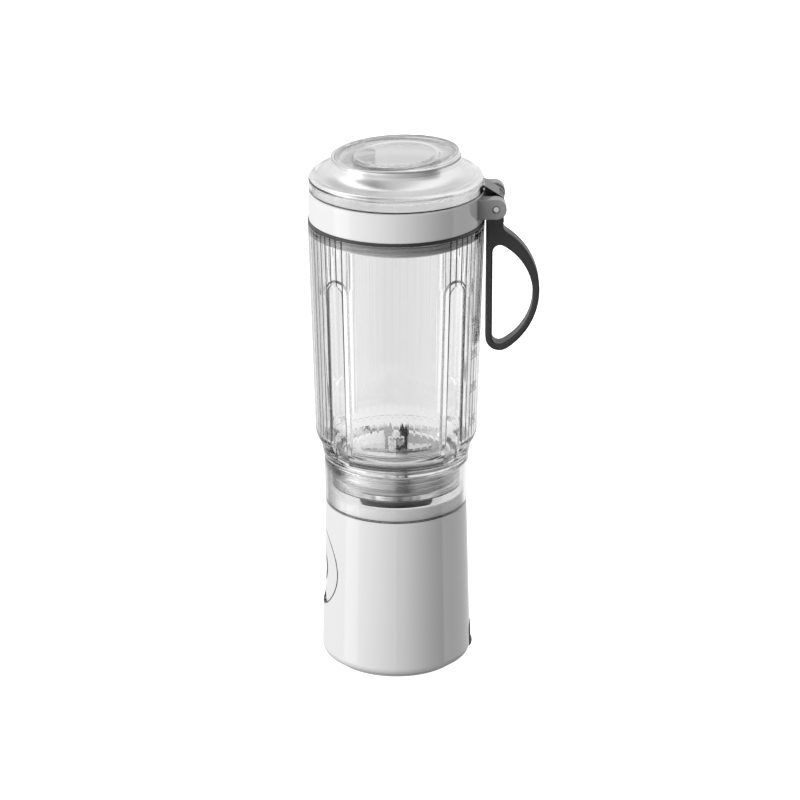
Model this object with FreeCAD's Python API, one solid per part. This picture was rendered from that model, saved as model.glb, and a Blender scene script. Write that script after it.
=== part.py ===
import FreeCAD, Part
import math
import os

# Cordless portable blender, in millimetres.
# Origin: centre of the base's underside, on the jar's axis.  +Z up, front (power button) -Y,
# back (lid hinge, carry loop and charge port) +Y.

V = FreeCAD.Vector
UP = V(0, 0, 1)
ALONG_X = V(1, 0, 0)
ALONG_Y = V(0, 1, 0)

# ---------------------------------------------------------------- driving dimensions
# base
BASE_TOP_Z = 91.0
BASE_TOP_R = 38.0
BASE_LOW_R = 40.35
BASE_FILLET = 4.5
HOUSING_FLOOR_Z = 2.4
WALL = 2.2
COVER_Z = 1.2
COVER_THICK = 3.0
COVER_R = 34.7
FOOT_R = 34.6
SPIGOT_R = 35.6
SPIGOT_TOP_Z = 98.5
SPIGOT_WALL = 2.4
DECK_FLOOR_Z = 88.0
DECK_THICK = 2.5
# control panel on the front
PANEL_Z = 53.5
PANEL_R = 22.5
PANEL_GAP = 0.35
PANEL_FACE_R = 38.35
BUTTON_R = 9.6
BUTTON_TRAVEL = 1.2
BAR_LOW_Z = 24.2
BAR_TOP_Z = 38.6
BAR_WIDTH = 2.2
# charge port on the back
PORT_Z = 10.0
PORT_COVER_LOW_Z = 4.4
PORT_COVER_TOP_Z = 17.6
PORT_COVER_WIDTH = 12.0
# motor and cells
MOTOR_R = 14.5
MOTOR_LOW_Z = 36.0
MOTOR_TOP_Z = 83.0
MOTOR_SHAFT_R = 1.585
RUNNING_GAP = 0.06
CELL_R = 9.2
CELL_LENGTH = 65.0
CELL_LOW_Z = 9.5
CELL_X = 25.2
# couplings
TEETH = 6
COUPLING_R = 17.5
COUPLING_GAP = 0.4
# blade unit
COLLAR_LOW_Z = 91.8
COLLAR_TOP_Z = 117.2
COLLAR_LOW_R = 38.2
COLLAR_TOP_R = 38.7
COLLAR_BORE_R = 35.95
COLLAR_THREAD_R = 32.3
WEB_Z = 102.5
WEB_THICK = 2.5
HOLDER_R = 27.5
HOLDER_TOP_Z = 118.5
BLADE_SHAFT_R = 2.5
BEARING_R = 5.5
BEARING_HEIGHT = 5.0
LOWER_BLADE_R = 19.5
LOWER_BLADE_TURN = 98.0
PRONG_TIP_Z = 134.6
PRONG_SHORT_TIP_Z = 131.0
PRONG_LOW_Z = 126.9
PRONG_LEAN = 5.0
BLADE_THICK = 1.2
# jar
JAR_LOW_Z = 106.5
JAR_RIM_Z = 117.6
JAR_RIM_R = 38.85
JAR_CORNER_Z = 133.5
JAR_CORNER_R = 43.3
JAR_TOP_Z = 248.3
JAR_TOP_R = 46.6
JAR_WALL = 2.9
JAR_FOOT_R = 31.0
JAR_FOOT_BORE_R = 28.0
JAR_NECK_R = 43.4
JAR_NECK_BORE_R = 40.8
JAR_LIP_Z = 262.0
STAVES = 72
GROOVE_WIDTH = 0.9
GROOVE_DEPTH = 0.32
WINDOW_HALF = 33.5
FAINT_DEPTH = 0.03
CHANNEL_WIDTH = 11.0
CHANNEL_TOP_Z = 223.0
CHANNEL_END_Z = 125.0
CHANNEL_END_R = 40.0
CHANNEL_STEP_Z = 151.0
CHANNEL_STEP = 0.5
# lid
GASKET_R = 46.3
RING_LOW_Z = 250.0
RING_TOP_Z = 265.7
RING_R = 46.0
RING_BORE_R = 44.5
DECK_LID_R = 44.4
DECK_LID_Z = 262.9
DECK_LID_THICK = 2.2
SLEEVE_R = 39.2
SLEEVE_LOW_Z = 240.5
SPOUT_Y = -17.0
SPOUT_WIDTH = 12.6
SPOUT_LENGTH = 27.0
SPOUT_TOP_Z = 274.5
SPOUT_WALL = 1.9
# hinge
PIN_Y = 52.05
PIN_Z = 259.6
PIN_R = 1.7
PIN_HALF = 18.5
PIN_RECESS_R = 2.3
PIN_RECESS_X = 18.0
EAR_R = 5.4
EAR_INNER_X = 11.5
EAR_OUTER_X = 19.0
LID_EAR_R = 4.9
LID_EAR_INNER_X = 5.5
LID_EAR_OUTER_X = 7.5
# flip lid
CAP_GAP = 0.3
CAP_BAND_TOP_Z = 272.1
CAP_DISC_R = 34.2
CAP_DISC_Z = 284.9
CAP_TILT = 3.2
CAP_WALL = 2.0
MOAT_INNER_R = 22.4
MOAT_OUTER_R = 32.2
MOAT_DEPTH = 1.9
# carry loop
LOOP_HALF = 5.0
LOOP_KNUCKLE_R = 4.6
LOOP_LOBE_X = 11.2
LOOP_EDGE = 1.1
LOOP_NECK_BACK = 4.9
LOOP_NECK_FRONT = 4.2
BOW_Y = -15.7
BOW_Z = -49.3
BOW_R = 39.3
HOLE_Y = -11.1
HOLE_Z = -51.6
HOLE_R = 31.1
LEG_INNER_Y = -1.3

JAR_TAPER = (JAR_TOP_R - JAR_CORNER_R) / (JAR_TOP_Z - JAR_CORNER_Z)
BASE_TAPER = (BASE_LOW_R - BASE_TOP_R) / (BASE_TOP_Z - HOUSING_FLOOR_Z - BASE_FILLET)


# ---------------------------------------------------------------- helpers
def wire(points, at=lambda a, b: V(a, 0, b)):
    """Closed wire.  A point is (a, b); a curve is ((mid a, mid b), (end a, end b))."""
    edges = []
    first = at(*points[0])
    last = first
    for item in points[1:] + [points[0]]:
        if isinstance(item[0], tuple):
            mid, end = at(*item[0]), at(*item[1])
            edges.append(Part.Arc(last, mid, end).toShape())
        else:
            end = at(*item)
            if end.distanceToPoint(last) > 1e-6:
                edges.append(Part.LineSegment(last, end).toShape())
        last = end
    return Part.Wire(edges)


def lathe(points):
    """Solid of revolution about Z from an (r, z) outline."""
    return Part.Face(wire(points)).revolve(V(0, 0, 0), UP, 360)


def plate_x(points, x0, x1):
    """Prism along X from a (y, z) outline."""
    face = Part.Face(wire(points, lambda y, z: V(x0, y, z)))
    return face.extrude(V(x1 - x0, 0, 0))


def rod(r, z0, z1, x=0.0, y=0.0):
    return Part.makeCylinder(r, z1 - z0, V(x, y, z0), UP)


def ring(r_out, r_in, z0, z1, x=0.0, y=0.0):
    return rod(r_out, z0, z1, x, y).cut(rod(r_in, z0 - 1, z1 + 1, x, y))


def rod_y(r, y0, y1, z, x=0.0):
    return Part.makeCylinder(r, y1 - y0, V(x, y0, z), ALONG_Y)


def rod_x(r, x0, x1, y, z):
    return Part.makeCylinder(r, x1 - x0, V(x0, y, z), ALONG_X)


def box(x0, x1, y0, y1, z0, z1):
    return Part.makeBox(x1 - x0, y1 - y0, z1 - z0, V(x0, y0, z0))


def slab(width_x, width_y, z0, z1, corner, x=0.0, y=0.0):
    """Upright block with rounded vertical edges, centred on x, y."""
    block = box(x - width_x / 2, x + width_x / 2, y - width_y / 2, y + width_y / 2, z0, z1)
    return block.makeFillet(corner, [e for e in block.Edges if abs(e.tangentAt(e.FirstParameter).z) > 0.9])


def rounded_along_y(block, radius):
    return block.makeFillet(radius, [e for e in block.Edges if abs(e.tangentAt(e.FirstParameter).y) > 0.9])


def turned(shape, degrees):
    copy = shape.copy()
    copy.rotate(V(0, 0, 0), UP, degrees)
    return copy


def around(shape, count, start=0.0):
    return [turned(shape, start + 360.0 * i / count) for i in range(count)]


def fused(first, *others):
    return first.fuse(list(others)).removeSplitter()


def base_r(z):
    return BASE_TOP_R + BASE_TAPER * (BASE_TOP_Z - z)


def jar_r(z):
    return JAR_CORNER_R + JAR_TAPER * (z - JAR_CORNER_Z)


# ---------------------------------------------------------------- base
COVER_SEAT_R = 35.0
COVER_SEAT_Z = 4.4
RIM_TOP_Z = 8.0
COLUMNS = 4
COLUMN_TURN = 45
COLUMN_R = 29.5
COLUMN_POST_R = 3.4
COLUMN_TOP_Z = 22.0
COLUMN_RIB = (6.5, 37.0, 1.0)      # low edge, reach from the axis, half thickness
SCREW_R = 1.25
SCREW_TIP_Z = 14.0
PILOT_R = 1.3
PILOT_TOP_Z = 16.0
HEAD_R = 2.4
HEAD_HEIGHT = 1.4
COVER_TOP_Z = COVER_Z + COVER_THICK
DECK_TOP_Z = DECK_FLOOR_Z + DECK_THICK
DECK_FLANGE_R = 37.0
DECK_FLANGE_Z = 89.6
CRADLE_Z = 6.8
BAR_GAP = 0.12
BAR_BACK_R = 33.6
BAR_FLANGE = 1.5                   # how far the hidden flange reaches past the bar's sides
BAR_FLANGE_TOP = 1.2
BAR_PROUD = 0.1
BAR_STEP = 0.6
PANEL_HEIGHTS = (20, 90)
PANEL_INNER_R = 35.9
PANEL_FLANGE_R = 35.95
PANEL_FLANGE = 1.8
PANEL_BACK_R = 34.8
PANEL_POST = (2.0, 12.0, 13.5)     # radius, x and z from the panel's centre
PORT_HALF = (5.4, 2.6)
PORT_GAP = 0.3
PORT_CORNER = 3.0
PORT_POCKET = 1.5
FRONT = (-60, -20)                 # y reach of cutters from outside the front wall
BACK = (30, 45)                    # and of cutters through the back wall


def base_outside(grow=0.0):
    """Outer form of the housing, closed at both ends."""
    low = HOUSING_FLOOR_Z
    knee = 0.29 * BASE_FILLET
    return lathe([
        (0, low), (BASE_LOW_R - BASE_FILLET + grow, low),
        ((BASE_LOW_R - knee + grow, low + knee), (BASE_LOW_R + grow, low + BASE_FILLET)),
        (BASE_TOP_R + grow, BASE_TOP_Z), (0, BASE_TOP_Z)])


def bar_block(gap):
    """Upright bar that follows the panel above the panel's edge and the housing below it."""
    split = PANEL_Z - PANEL_R
    lathed = lathe([
        (BAR_BACK_R, BAR_LOW_Z - gap), (base_r(BAR_LOW_Z) + BAR_PROUD, BAR_LOW_Z - gap),
        (base_r(split) + BAR_PROUD, split), (PANEL_FACE_R + BAR_PROUD, split + BAR_STEP),
        (PANEL_FACE_R + BAR_PROUD, BAR_TOP_Z + gap), (BAR_BACK_R, BAR_TOP_Z + gap)])
    half = BAR_WIDTH / 2 + gap
    return lathed.common(box(-half, half, *FRONT, 0, BASE_TOP_Z))


def indicator_bar():
    """Light bar with a flange that lies behind the panel."""
    flange = ring(PANEL_BACK_R, BAR_BACK_R, PANEL_Z - PANEL_R - 1.0, BAR_TOP_Z + BAR_FLANGE_TOP)
    half = BAR_WIDTH / 2 + BAR_FLANGE
    return fused(bar_block(0.0), flange.common(box(-half, half, *FRONT, 0, BASE_TOP_Z)))


def port_outline(gap):
    """Rounded block along Y where the charge port's cover sits."""
    half = PORT_COVER_WIDTH / 2 + gap
    block = box(-half, half, *BACK, PORT_COVER_LOW_Z - gap, PORT_COVER_TOP_Z + gap)
    return rounded_along_y(block, PORT_CORNER)


def base_housing():
    """Tapered shell with screw columns, and openings for the panel, the light bar and the charge port."""
    inner = lathe([
        (0, 0), (COVER_SEAT_R, 0), (COVER_SEAT_R, COVER_SEAT_Z), (base_r(RIM_TOP_Z) - WALL, RIM_TOP_Z),
        (BASE_TOP_R - WALL, BASE_TOP_Z), (BASE_TOP_R - WALL, BASE_TOP_Z + 1), (0, BASE_TOP_Z + 1)])
    shell = base_outside().cut(inner)
    shell = shell.cut(rod(DECK_FLANGE_R + 0.1, DECK_FLANGE_Z, BASE_TOP_Z + 1))
    rib_low, rib_reach, rib_half = COLUMN_RIB
    rib = box(COLUMN_R, rib_reach, -rib_half, rib_half, rib_low, COLUMN_TOP_Z)
    column = fused(rod(COLUMN_POST_R, COVER_TOP_Z, COLUMN_TOP_Z, COLUMN_R), rib)
    for post in around(column, COLUMNS, COLUMN_TURN):
        shell = shell.fuse(post)
    for hole in around(rod(PILOT_R, COVER_TOP_Z - 1, PILOT_TOP_Z, COLUMN_R), COLUMNS, COLUMN_TURN):
        shell = shell.cut(hole)
    shell = shell.cut(rod_y(PANEL_R, *FRONT, PANEL_Z))
    shell = shell.cut(bar_block(BAR_GAP))
    # pocket for the port's cover, with the socket's mouth behind it
    pocket = port_outline(PORT_GAP).cut(base_outside(-PORT_POCKET))
    mouth = box(-PORT_HALF[0], PORT_HALF[0], *BACK, PORT_Z - PORT_HALF[1], PORT_Z + PORT_HALF[1])
    return shell.cut(pocket).cut(mouth).removeSplitter()


def control_panel():
    """Round panel let into the front wall, with four posts that carry the control board."""
    face = ring(PANEL_FACE_R, PANEL_INNER_R, *PANEL_HEIGHTS).common(rod_y(PANEL_R - PANEL_GAP, *FRONT, PANEL_Z))
    flange = ring(PANEL_FLANGE_R, PANEL_BACK_R, *PANEL_HEIGHTS)
    flange = flange.common(rod_y(PANEL_R + PANEL_FLANGE, *FRONT, PANEL_Z))
    post_r, post_x, post_z = PANEL_POST
    posts = [rod_y(post_r, -PANEL_BACK_R + 0.8, BOARD_FACE_Y, PANEL_Z + z, x)
             for x in (-post_x, post_x) for z in (-post_z, post_z)]
    panel = fused(face, flange, *posts)
    panel = panel.cut(rod_y(BUTTON_R + BUTTON_GAP, *FRONT, PANEL_Z))
    return panel.cut(bar_block(BAR_GAP))


BUTTON_GAP = 0.3
BUTTON_PROUD = 0.25
BUTTON_WALL = 1.6
BUTTON_FLANGE = 1.2
BUTTON_FLANGE_Y = -32.8
BUTTON_ROOF_Y = -36.4
BUTTON_DISH_R = 60.0
BUTTON_DISH_DEPTH = 0.6
STEM_R = 3.0
SWITCH_HALF = 3.0
SWITCH_FACE_Y = -30.0
SWITCH_WELL = 2.4
BOARD_FACE_Y = -26.5
BOARD_THICK = 1.6
BOARD_BACK_Y = BOARD_FACE_Y + BOARD_THICK
PLUNGER_R = 1.75
PLUNGER_Y = SWITCH_FACE_Y - BUTTON_TRAVEL - 0.3


def power_button():
    """Round key with a hollowed face, a flange behind the panel and a stem on the switch."""
    key = rod(PANEL_FACE_R + BUTTON_PROUD, *PANEL_HEIGHTS)
    key = key.common(rod_y(BUTTON_R, FRONT[0], BUTTON_FLANGE_Y, PANEL_Z))
    dish_y = -PANEL_FACE_R - BUTTON_DISH_R + BUTTON_DISH_DEPTH
    dish = Part.makeSphere(BUTTON_DISH_R, V(0, dish_y, PANEL_Z))
    flange = rod_y(BUTTON_R + BUTTON_FLANGE, BUTTON_FLANGE_Y, BUTTON_FLANGE_Y + 1.0, PANEL_Z)
    stem = rod_y(STEM_R, BUTTON_FLANGE_Y + 0.5, PLUNGER_Y, PANEL_Z)
    hollow = rod_y(BUTTON_R - BUTTON_WALL, BUTTON_ROOF_Y, BUTTON_FLANGE_Y + 2, PANEL_Z)
    hollow = hollow.cut(rod_y(STEM_R, BUTTON_ROOF_Y - 1, 0, PANEL_Z))
    return fused(key, flange, stem).cut(dish).cut(hollow)


def switch_plunger():
    return rod_y(PLUNGER_R, PLUNGER_Y, SWITCH_FACE_Y + 1.0, PANEL_Z)


def tact_switch():
    half = SWITCH_HALF
    body = box(-half, half, SWITCH_FACE_Y, BOARD_FACE_Y, PANEL_Z - half, PANEL_Z + half)
    return body.cut(rod_y(PLUNGER_R + 0.15, SWITCH_FACE_Y - 1, SWITCH_FACE_Y + SWITCH_WELL, PANEL_Z))


def control_board():
    """Board on the panel's posts, with a driver chip, a choke and the bar's lamp."""
    board = box(-15, 15, BOARD_FACE_Y, BOARD_BACK_Y, 26, 74)
    chip = box(-4, 4, BOARD_BACK_Y, BOARD_BACK_Y + 1.2, 38, 46)
    choke = rod_y(3.5, BOARD_BACK_Y, BOARD_BACK_Y + 3.4, 58, 7)
    lamp = box(-1.4, 1.4, BOARD_FACE_Y - 1.2, BOARD_FACE_Y, 30, 33)
    return fused(board, chip, choke, lamp)


SOCKET_SHELL = (4.47, 1.6, 1.5)    # half width, half height and corner of a USB-C receptacle
SOCKET_MOUTH = (4.15, 1.28, 1.2)
SOCKET_TONGUE = (3.3, 0.35)
SOCKET_Y = (29.4, 36.7)
TAB_R = 5.0
TAB_STRETCH = (0.86, 0.52, 0.74)
TAB_PLACE = V(0, 38.8, 6.5)


def port_cover():
    """Rubber cover with a rounded pull tab outside and a plug that fills the port's mouth."""
    plate = base_outside(0.35).cut(base_outside(-1.2)).common(port_outline(0.0))
    tab = Part.makeSphere(TAB_R, V(0, 0, 0))
    squash = FreeCAD.Matrix()
    squash.scale(*TAB_STRETCH)
    tab = tab.transformGeometry(squash)
    tab.translate(TAB_PLACE)
    tab = tab.cut(base_outside(0.3)).common(box(-10, 10, 36, 50, 0, 20))
    boss = box(-4.4, 4.4, 37.2, 39.4, PORT_Z - 1.5, PORT_Z + 1.5)
    return fused(plate, tab, boss)


def socket_block(half_x, half_z, corner, y0, y1):
    return rounded_along_y(box(-half_x, half_x, y0, y1, PORT_Z - half_z, PORT_Z + half_z), corner)


def charge_socket():
    """USB-C receptacle: steel shell, mouth and tongue."""
    back, front = SOCKET_Y
    shell = socket_block(*SOCKET_SHELL, back, front)
    shell = shell.cut(socket_block(*SOCKET_MOUTH, back + 1.0, front + 0.3))
    half_x, half_z = SOCKET_TONGUE
    return fused(shell, box(-half_x, half_x, back + 0.8, front - 0.9, PORT_Z - half_z, PORT_Z + half_z))


def charge_board():
    return box(-8, 8, 21, 35.4, CRADLE_Z, PORT_Z - SOCKET_SHELL[1])


HEAD_SEAT_Z = COVER_Z + 0.2 + HEAD_HEIGHT
COVER_RIB = (26.0, 24.4)


def bottom_cover():
    """Disc screwed up into the housing, with a round rib under the cradle."""
    disc = fused(rod(COVER_R, COVER_Z, COVER_TOP_Z), ring(*COVER_RIB, COVER_TOP_Z, CRADLE_Z))
    for hole in around(rod(SCREW_R + 0.15, COVER_Z - 1, COVER_TOP_Z + 1, COLUMN_R), COLUMNS, COLUMN_TURN):
        disc = disc.cut(hole)
    for sink in around(rod(HEAD_R + 0.2, COVER_Z - 1, HEAD_SEAT_Z, COLUMN_R), COLUMNS, COLUMN_TURN):
        disc = disc.cut(sink)
    return disc


def cover_screws():
    head = rod(HEAD_R, HEAD_SEAT_Z - HEAD_HEIGHT, HEAD_SEAT_Z, COLUMN_R)
    screw = fused(head, rod(SCREW_R, HEAD_SEAT_Z, SCREW_TIP_Z, COLUMN_R))
    return Part.makeCompound(around(screw, COLUMNS, COLUMN_TURN))


def foot_pad():
    """Rubber disc with a rounded lower edge."""
    return lathe([
        (0, 0), (FOOT_R - 0.8, 0), ((FOOT_R - 0.2, 0.25), (FOOT_R, 0.9)), (FOOT_R, COVER_Z), (0, COVER_Z)])


MOUNT_Z = MOTOR_TOP_Z
MOUNT_THICK = 2.5
MOUNT_R = 27.4
MOUNT_BORE_R = 5.3
MOUNTS = 3
MOUNT_TURN = 90
MOUNT_POST_R = 24.0
MOUNT_POST_THICK = 3.0
WAIST_R = 7.5
WAIST_PLACE_R = 29.0
SPLASH_R = 6.0
SPLASH_HEIGHT = 1.8
LUGS = 3
LUG_TURN = 30
LUG_HALF = 4.0
LUG_HEIGHTS = (94.5, 96.5)
MOTOR_SCREW_R = 1.45
MOTOR_SCREW_HEAD_R = 2.6
MOTOR_SCREW_PLACE_R = 8.0


def top_deck():
    """Deck with a splash collar round the shaft and the spigot that carries the bayonet lugs."""
    deck = lathe([
        (0, DECK_FLOOR_Z), (BASE_TOP_R - WALL - 0.1, DECK_FLOOR_Z), (BASE_TOP_R - WALL - 0.1, DECK_FLANGE_Z),
        (DECK_FLANGE_R, DECK_FLANGE_Z), (DECK_FLANGE_R, BASE_TOP_Z), (SPIGOT_R, BASE_TOP_Z),
        (SPIGOT_R, SPIGOT_TOP_Z - 0.6), (SPIGOT_R - 0.6, SPIGOT_TOP_Z),
        (SPIGOT_R - SPIGOT_WALL, SPIGOT_TOP_Z), (SPIGOT_R - SPIGOT_WALL - 0.5, DECK_TOP_Z + 1.5),
        (SPIGOT_R - SPIGOT_WALL - 2.0, DECK_TOP_Z), (SPLASH_R + 1.0, DECK_TOP_Z),
        (SPLASH_R, DECK_TOP_Z + SPLASH_HEIGHT), (0, DECK_TOP_Z + SPLASH_HEIGHT)])
    post = rod(MOUNT_POST_THICK, MOUNT_Z + MOUNT_THICK, DECK_FLOOR_Z + 0.5, MOUNT_POST_R)
    deck = fused(deck, *around(post, MOUNTS, MOUNT_TURN))
    deck = deck.cut(rod(MOTOR_SHAFT_R + 0.8, MOUNT_Z, SPIGOT_TOP_Z))
    for hole in around(rod(PILOT_R, MOUNT_Z, DECK_FLOOR_Z + 1.4, MOUNT_POST_R), MOUNTS, MOUNT_TURN):
        deck = deck.cut(hole)
    # bayonet lugs on the spigot
    lug = ring(SPIGOT_R + 0.15, SPIGOT_R - 0.5, *LUG_HEIGHTS).common(box(30, 40, -LUG_HALF, LUG_HALF, 90, 99))
    return fused(deck, *around(lug, LUGS, LUG_TURN))


def seat_gasket():
    return ring(BASE_TOP_R - 0.5, SPIGOT_R + 0.12, BASE_TOP_Z, COLLAR_LOW_Z)


def motor_mount():
    """Waisted plate between the motor and the deck's posts."""
    plate = rod(MOUNT_R, MOUNT_Z, MOUNT_Z + MOUNT_THICK)
    holes = around(rod(WAIST_R, MOUNT_Z - 1, MOUNT_Z + 9, WAIST_PLACE_R), MOUNTS, 30)
    holes += around(rod(SCREW_R + 0.15, MOUNT_Z - 1, MOUNT_Z + 9, MOUNT_POST_R), MOUNTS, MOUNT_TURN)
    holes += around(rod(MOTOR_SCREW_R + 0.2, MOUNT_Z - 1, MOUNT_Z + 9, MOTOR_SCREW_PLACE_R), 2)
    plate = plate.cut(rod(MOUNT_BORE_R, MOUNT_Z - 1, MOUNT_Z + 9))
    for hole in holes:
        plate = plate.cut(hole)
    return plate


def mount_screws():
    head = rod(HEAD_R, MOUNT_Z - 1.6, MOUNT_Z, MOUNT_POST_R)
    screw = fused(head, rod(SCREW_R, MOUNT_Z - 0.2, DECK_FLOOR_Z + 1.2, MOUNT_POST_R))
    return Part.makeCompound(around(screw, MOUNTS, MOUNT_TURN))


def motor_screws():
    seat = MOUNT_Z + MOUNT_THICK
    head = rod(MOTOR_SCREW_HEAD_R, seat, seat + 1.5, MOTOR_SCREW_PLACE_R)
    screw = fused(head, rod(MOTOR_SCREW_R, MOUNT_Z - 2.4, seat + 0.2, MOTOR_SCREW_PLACE_R))
    return Part.makeCompound(around(screw, 2))


MOTOR_WALL = 1.0
MOTOR_NOSE_R = 5.0
MOTOR_NOSE = 2.2
MOTOR_FACE = 2.6
END_CAP_HEIGHT = 4.0
END_CAP_HUB_R = 5.0
END_CAP_BOSS_R = 4.0
TERMINAL_X = 9.5
TERMINAL_HALF = (1.4, 0.3)
TERMINAL_LENGTH = 5.0
SHAFT_BORE_R = MOTOR_SHAFT_R + RUNNING_GAP


def motor_can():
    """Drawn steel can with a raised nose round the shaft and two tapped holes."""
    low = MOTOR_LOW_Z + END_CAP_HEIGHT
    can = lathe([
        (0, low), (MOTOR_R, low), (MOTOR_R, MOTOR_TOP_Z - 1.0),
        ((MOTOR_R - 0.3, MOTOR_TOP_Z - 0.3), (MOTOR_R - 1.0, MOTOR_TOP_Z)), (MOTOR_NOSE_R, MOTOR_TOP_Z),
        (MOTOR_NOSE_R, MOTOR_TOP_Z + MOTOR_NOSE), (0, MOTOR_TOP_Z + MOTOR_NOSE)])
    can = can.cut(rod(MOTOR_R - MOTOR_WALL, MOTOR_LOW_Z, MOTOR_TOP_Z - MOTOR_FACE))
    can = can.cut(rod(SHAFT_BORE_R, MOTOR_LOW_Z, MOTOR_TOP_Z + 5))
    for hole in around(rod(MOTOR_SCREW_R + 0.05, MOTOR_TOP_Z - 2.5, MOTOR_TOP_Z + 1, MOTOR_SCREW_PLACE_R), 2):
        can = can.cut(hole)
    return can


def motor_end_cap():
    """Moulded brush end of the motor with its bearing boss and two terminals."""
    seat = MOTOR_LOW_Z + END_CAP_HEIGHT
    cap = lathe([
        (0, MOTOR_LOW_Z), (MOTOR_R, MOTOR_LOW_Z), (MOTOR_R, seat), (END_CAP_HUB_R, seat),
        (END_CAP_HUB_R, seat + 1.5), (0, seat + 1.5)])
    cap = fused(cap, rod(END_CAP_BOSS_R, MOTOR_LOW_Z - 2.0, MOTOR_LOW_Z + 1))
    half_x, half_y = TERMINAL_HALF
    terminals = [box(x - half_x, x + half_x, -half_y, half_y, MOTOR_LOW_Z - TERMINAL_LENGTH, MOTOR_LOW_Z + 1)
                 for x in (-TERMINAL_X, TERMINAL_X)]
    return fused(cap, *terminals).cut(rod(SHAFT_BORE_R, MOTOR_LOW_Z - 9, seat + 9))


MAGNET_BORE_R = 10.4
MAGNET_HEIGHTS = (45, 77)
MAGNET_GAP = 3.5


def motor_magnets():
    """Two arc magnets against the can's wall."""
    arc = ring(MOTOR_R - MOTOR_WALL, MAGNET_BORE_R, *MAGNET_HEIGHTS)
    gap = box(-MAGNET_GAP, MAGNET_GAP, -MOTOR_R, MOTOR_R, MOTOR_LOW_Z, MOTOR_TOP_Z)
    return Part.makeCompound(arc.cut(gap).Solids)


ROTOR_R = 9.6
ROTOR_HEIGHTS = (47, 75)
ROTOR_SLOTS = 5
SLOT_R = 1.9
SLOT_PLACE_R = 7.0
SLOT_MOUTH = 0.6
ROTOR_SLEEVE_R = 3.6
ROTOR_SLEEVE_HEIGHTS = (43, 79)


def rotor_core():
    """Slotted stack on a sleeve."""
    low, top = ROTOR_HEIGHTS
    core = rod(ROTOR_R, low, top)
    mouth = box(SLOT_PLACE_R, ROTOR_R + 1, -SLOT_MOUTH, SLOT_MOUTH, low - 1, top + 1)
    for slot in around(fused(rod(SLOT_R, low - 1, top + 1, SLOT_PLACE_R), mouth), ROTOR_SLOTS):
        core = core.cut(slot)
    core = fused(core, rod(ROTOR_SLEEVE_R, *ROTOR_SLEEVE_HEIGHTS))
    return core.cut(rod(MOTOR_SHAFT_R, MOTOR_LOW_Z, MOTOR_TOP_Z))


def motor_shaft():
    return rod(MOTOR_SHAFT_R, MOTOR_LOW_Z - 1.5, SHAFT_END_Z)


CELL_RIM = 0.8
CELL_CRIMP = (0.6, 2.6, 1.8, 1.2)  # depth, and its start, floor and shoulder below the button's top
CELL_BUTTON_R = 2.8


def battery_cells():
    """Two cylindrical cells with a crimped shoulder and a button on top."""
    top = CELL_LOW_Z + CELL_LENGTH
    depth, start, floor, shoulder = CELL_CRIMP
    cell = lathe([
        (0, CELL_LOW_Z), (CELL_R - CELL_RIM, CELL_LOW_Z), (CELL_R, CELL_LOW_Z + CELL_RIM),
        (CELL_R, top - start), (CELL_R - depth, top - floor), (CELL_R - 0.2, top - shoulder),
        (CELL_BUTTON_R, top - shoulder), (CELL_BUTTON_R, top), (0, top)])
    left = cell.copy()
    left.translate(V(-CELL_X, 0, 0))
    cell.translate(V(CELL_X, 0, 0))
    return Part.makeCompound([left, cell])


CRADLE_R = 33.4
CRADLE_OUTER_R = 34.6
CRADLE_WINDOW = (9.5, 19.5)
CUP_WALL = 1.5
CUP_TOP_Z = 20.0
CRADLE_BORE_R = 11.0


def battery_cradle():
    """Floor with a cup for each cell, cut away round the screw columns, the charge board and the panel."""
    window_half, window_y = CRADLE_WINDOW
    floor = rod(CRADLE_R, CRADLE_Z, CELL_LOW_Z).cut(box(-window_half, window_half, window_y, 40, 0, 20))
    cups = [rod(CELL_R + CUP_WALL, CRADLE_Z, CUP_TOP_Z, x) for x in (-CELL_X, CELL_X)]
    cradle = fused(floor, *cups).common(rod(CRADLE_OUTER_R, 0, 30))
    for x in (-CELL_X, CELL_X):
        cradle = cradle.cut(rod(CELL_R + 0.15, CELL_LOW_Z, 30, x))
    cradle = cradle.cut(rod(CRADLE_BORE_R, 0, 30))
    half = COLUMN_RIB[2] + 0.4
    clear = fused(rod(COLUMN_POST_R + 0.4, 0, 30, COLUMN_R), box(COLUMN_R, 40, -half, half, 0, 30))
    for post in around(clear, COLUMNS, COLUMN_TURN):
        cradle = cradle.cut(post)
    return cradle.cut(box(-9.0, 9.0, -40, -28, 0, 30))


TAB_HALF = (3.0, 4.0)
TAB_THICK = 0.3
LEAD_R = 0.8


def cell_tabs():
    """Nickel tab welded on each cell's button."""
    top = CELL_LOW_Z + CELL_LENGTH
    half_x, half_y = TAB_HALF
    return Part.makeCompound([
        box(x - half_x, x + half_x, -half_y, half_y, top, top + TAB_THICK) for x in (-CELL_X, CELL_X)])


def lead(points, bend):
    """Insulated lead along straight runs joined by tangent arcs of radius bend."""
    stops = [V(*point) for point in points]
    edges = []
    start = stops[0]
    for before, corner, after in zip(stops, stops[1:], stops[2:]):
        back, ahead = (before - corner).normalize(), (after - corner).normalize()
        half_turn = (math.pi - back.getAngle(ahead)) / 2
        leave = corner + back * (bend * math.tan(half_turn))
        arrive = corner + ahead * (bend * math.tan(half_turn))
        middle = corner + (back + ahead).normalize() * (bend / math.cos(half_turn) - bend)
        edges += [Part.LineSegment(start, leave).toShape(), Part.Arc(leave, middle, arrive).toShape()]
        start = arrive
    edges.append(Part.LineSegment(start, stops[-1]).toShape())
    section = Part.Wire(Part.Circle(stops[0], stops[1] - stops[0], LEAD_R).toShape())
    return Part.Wire(edges).makePipeShell([section], True, True)


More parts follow.
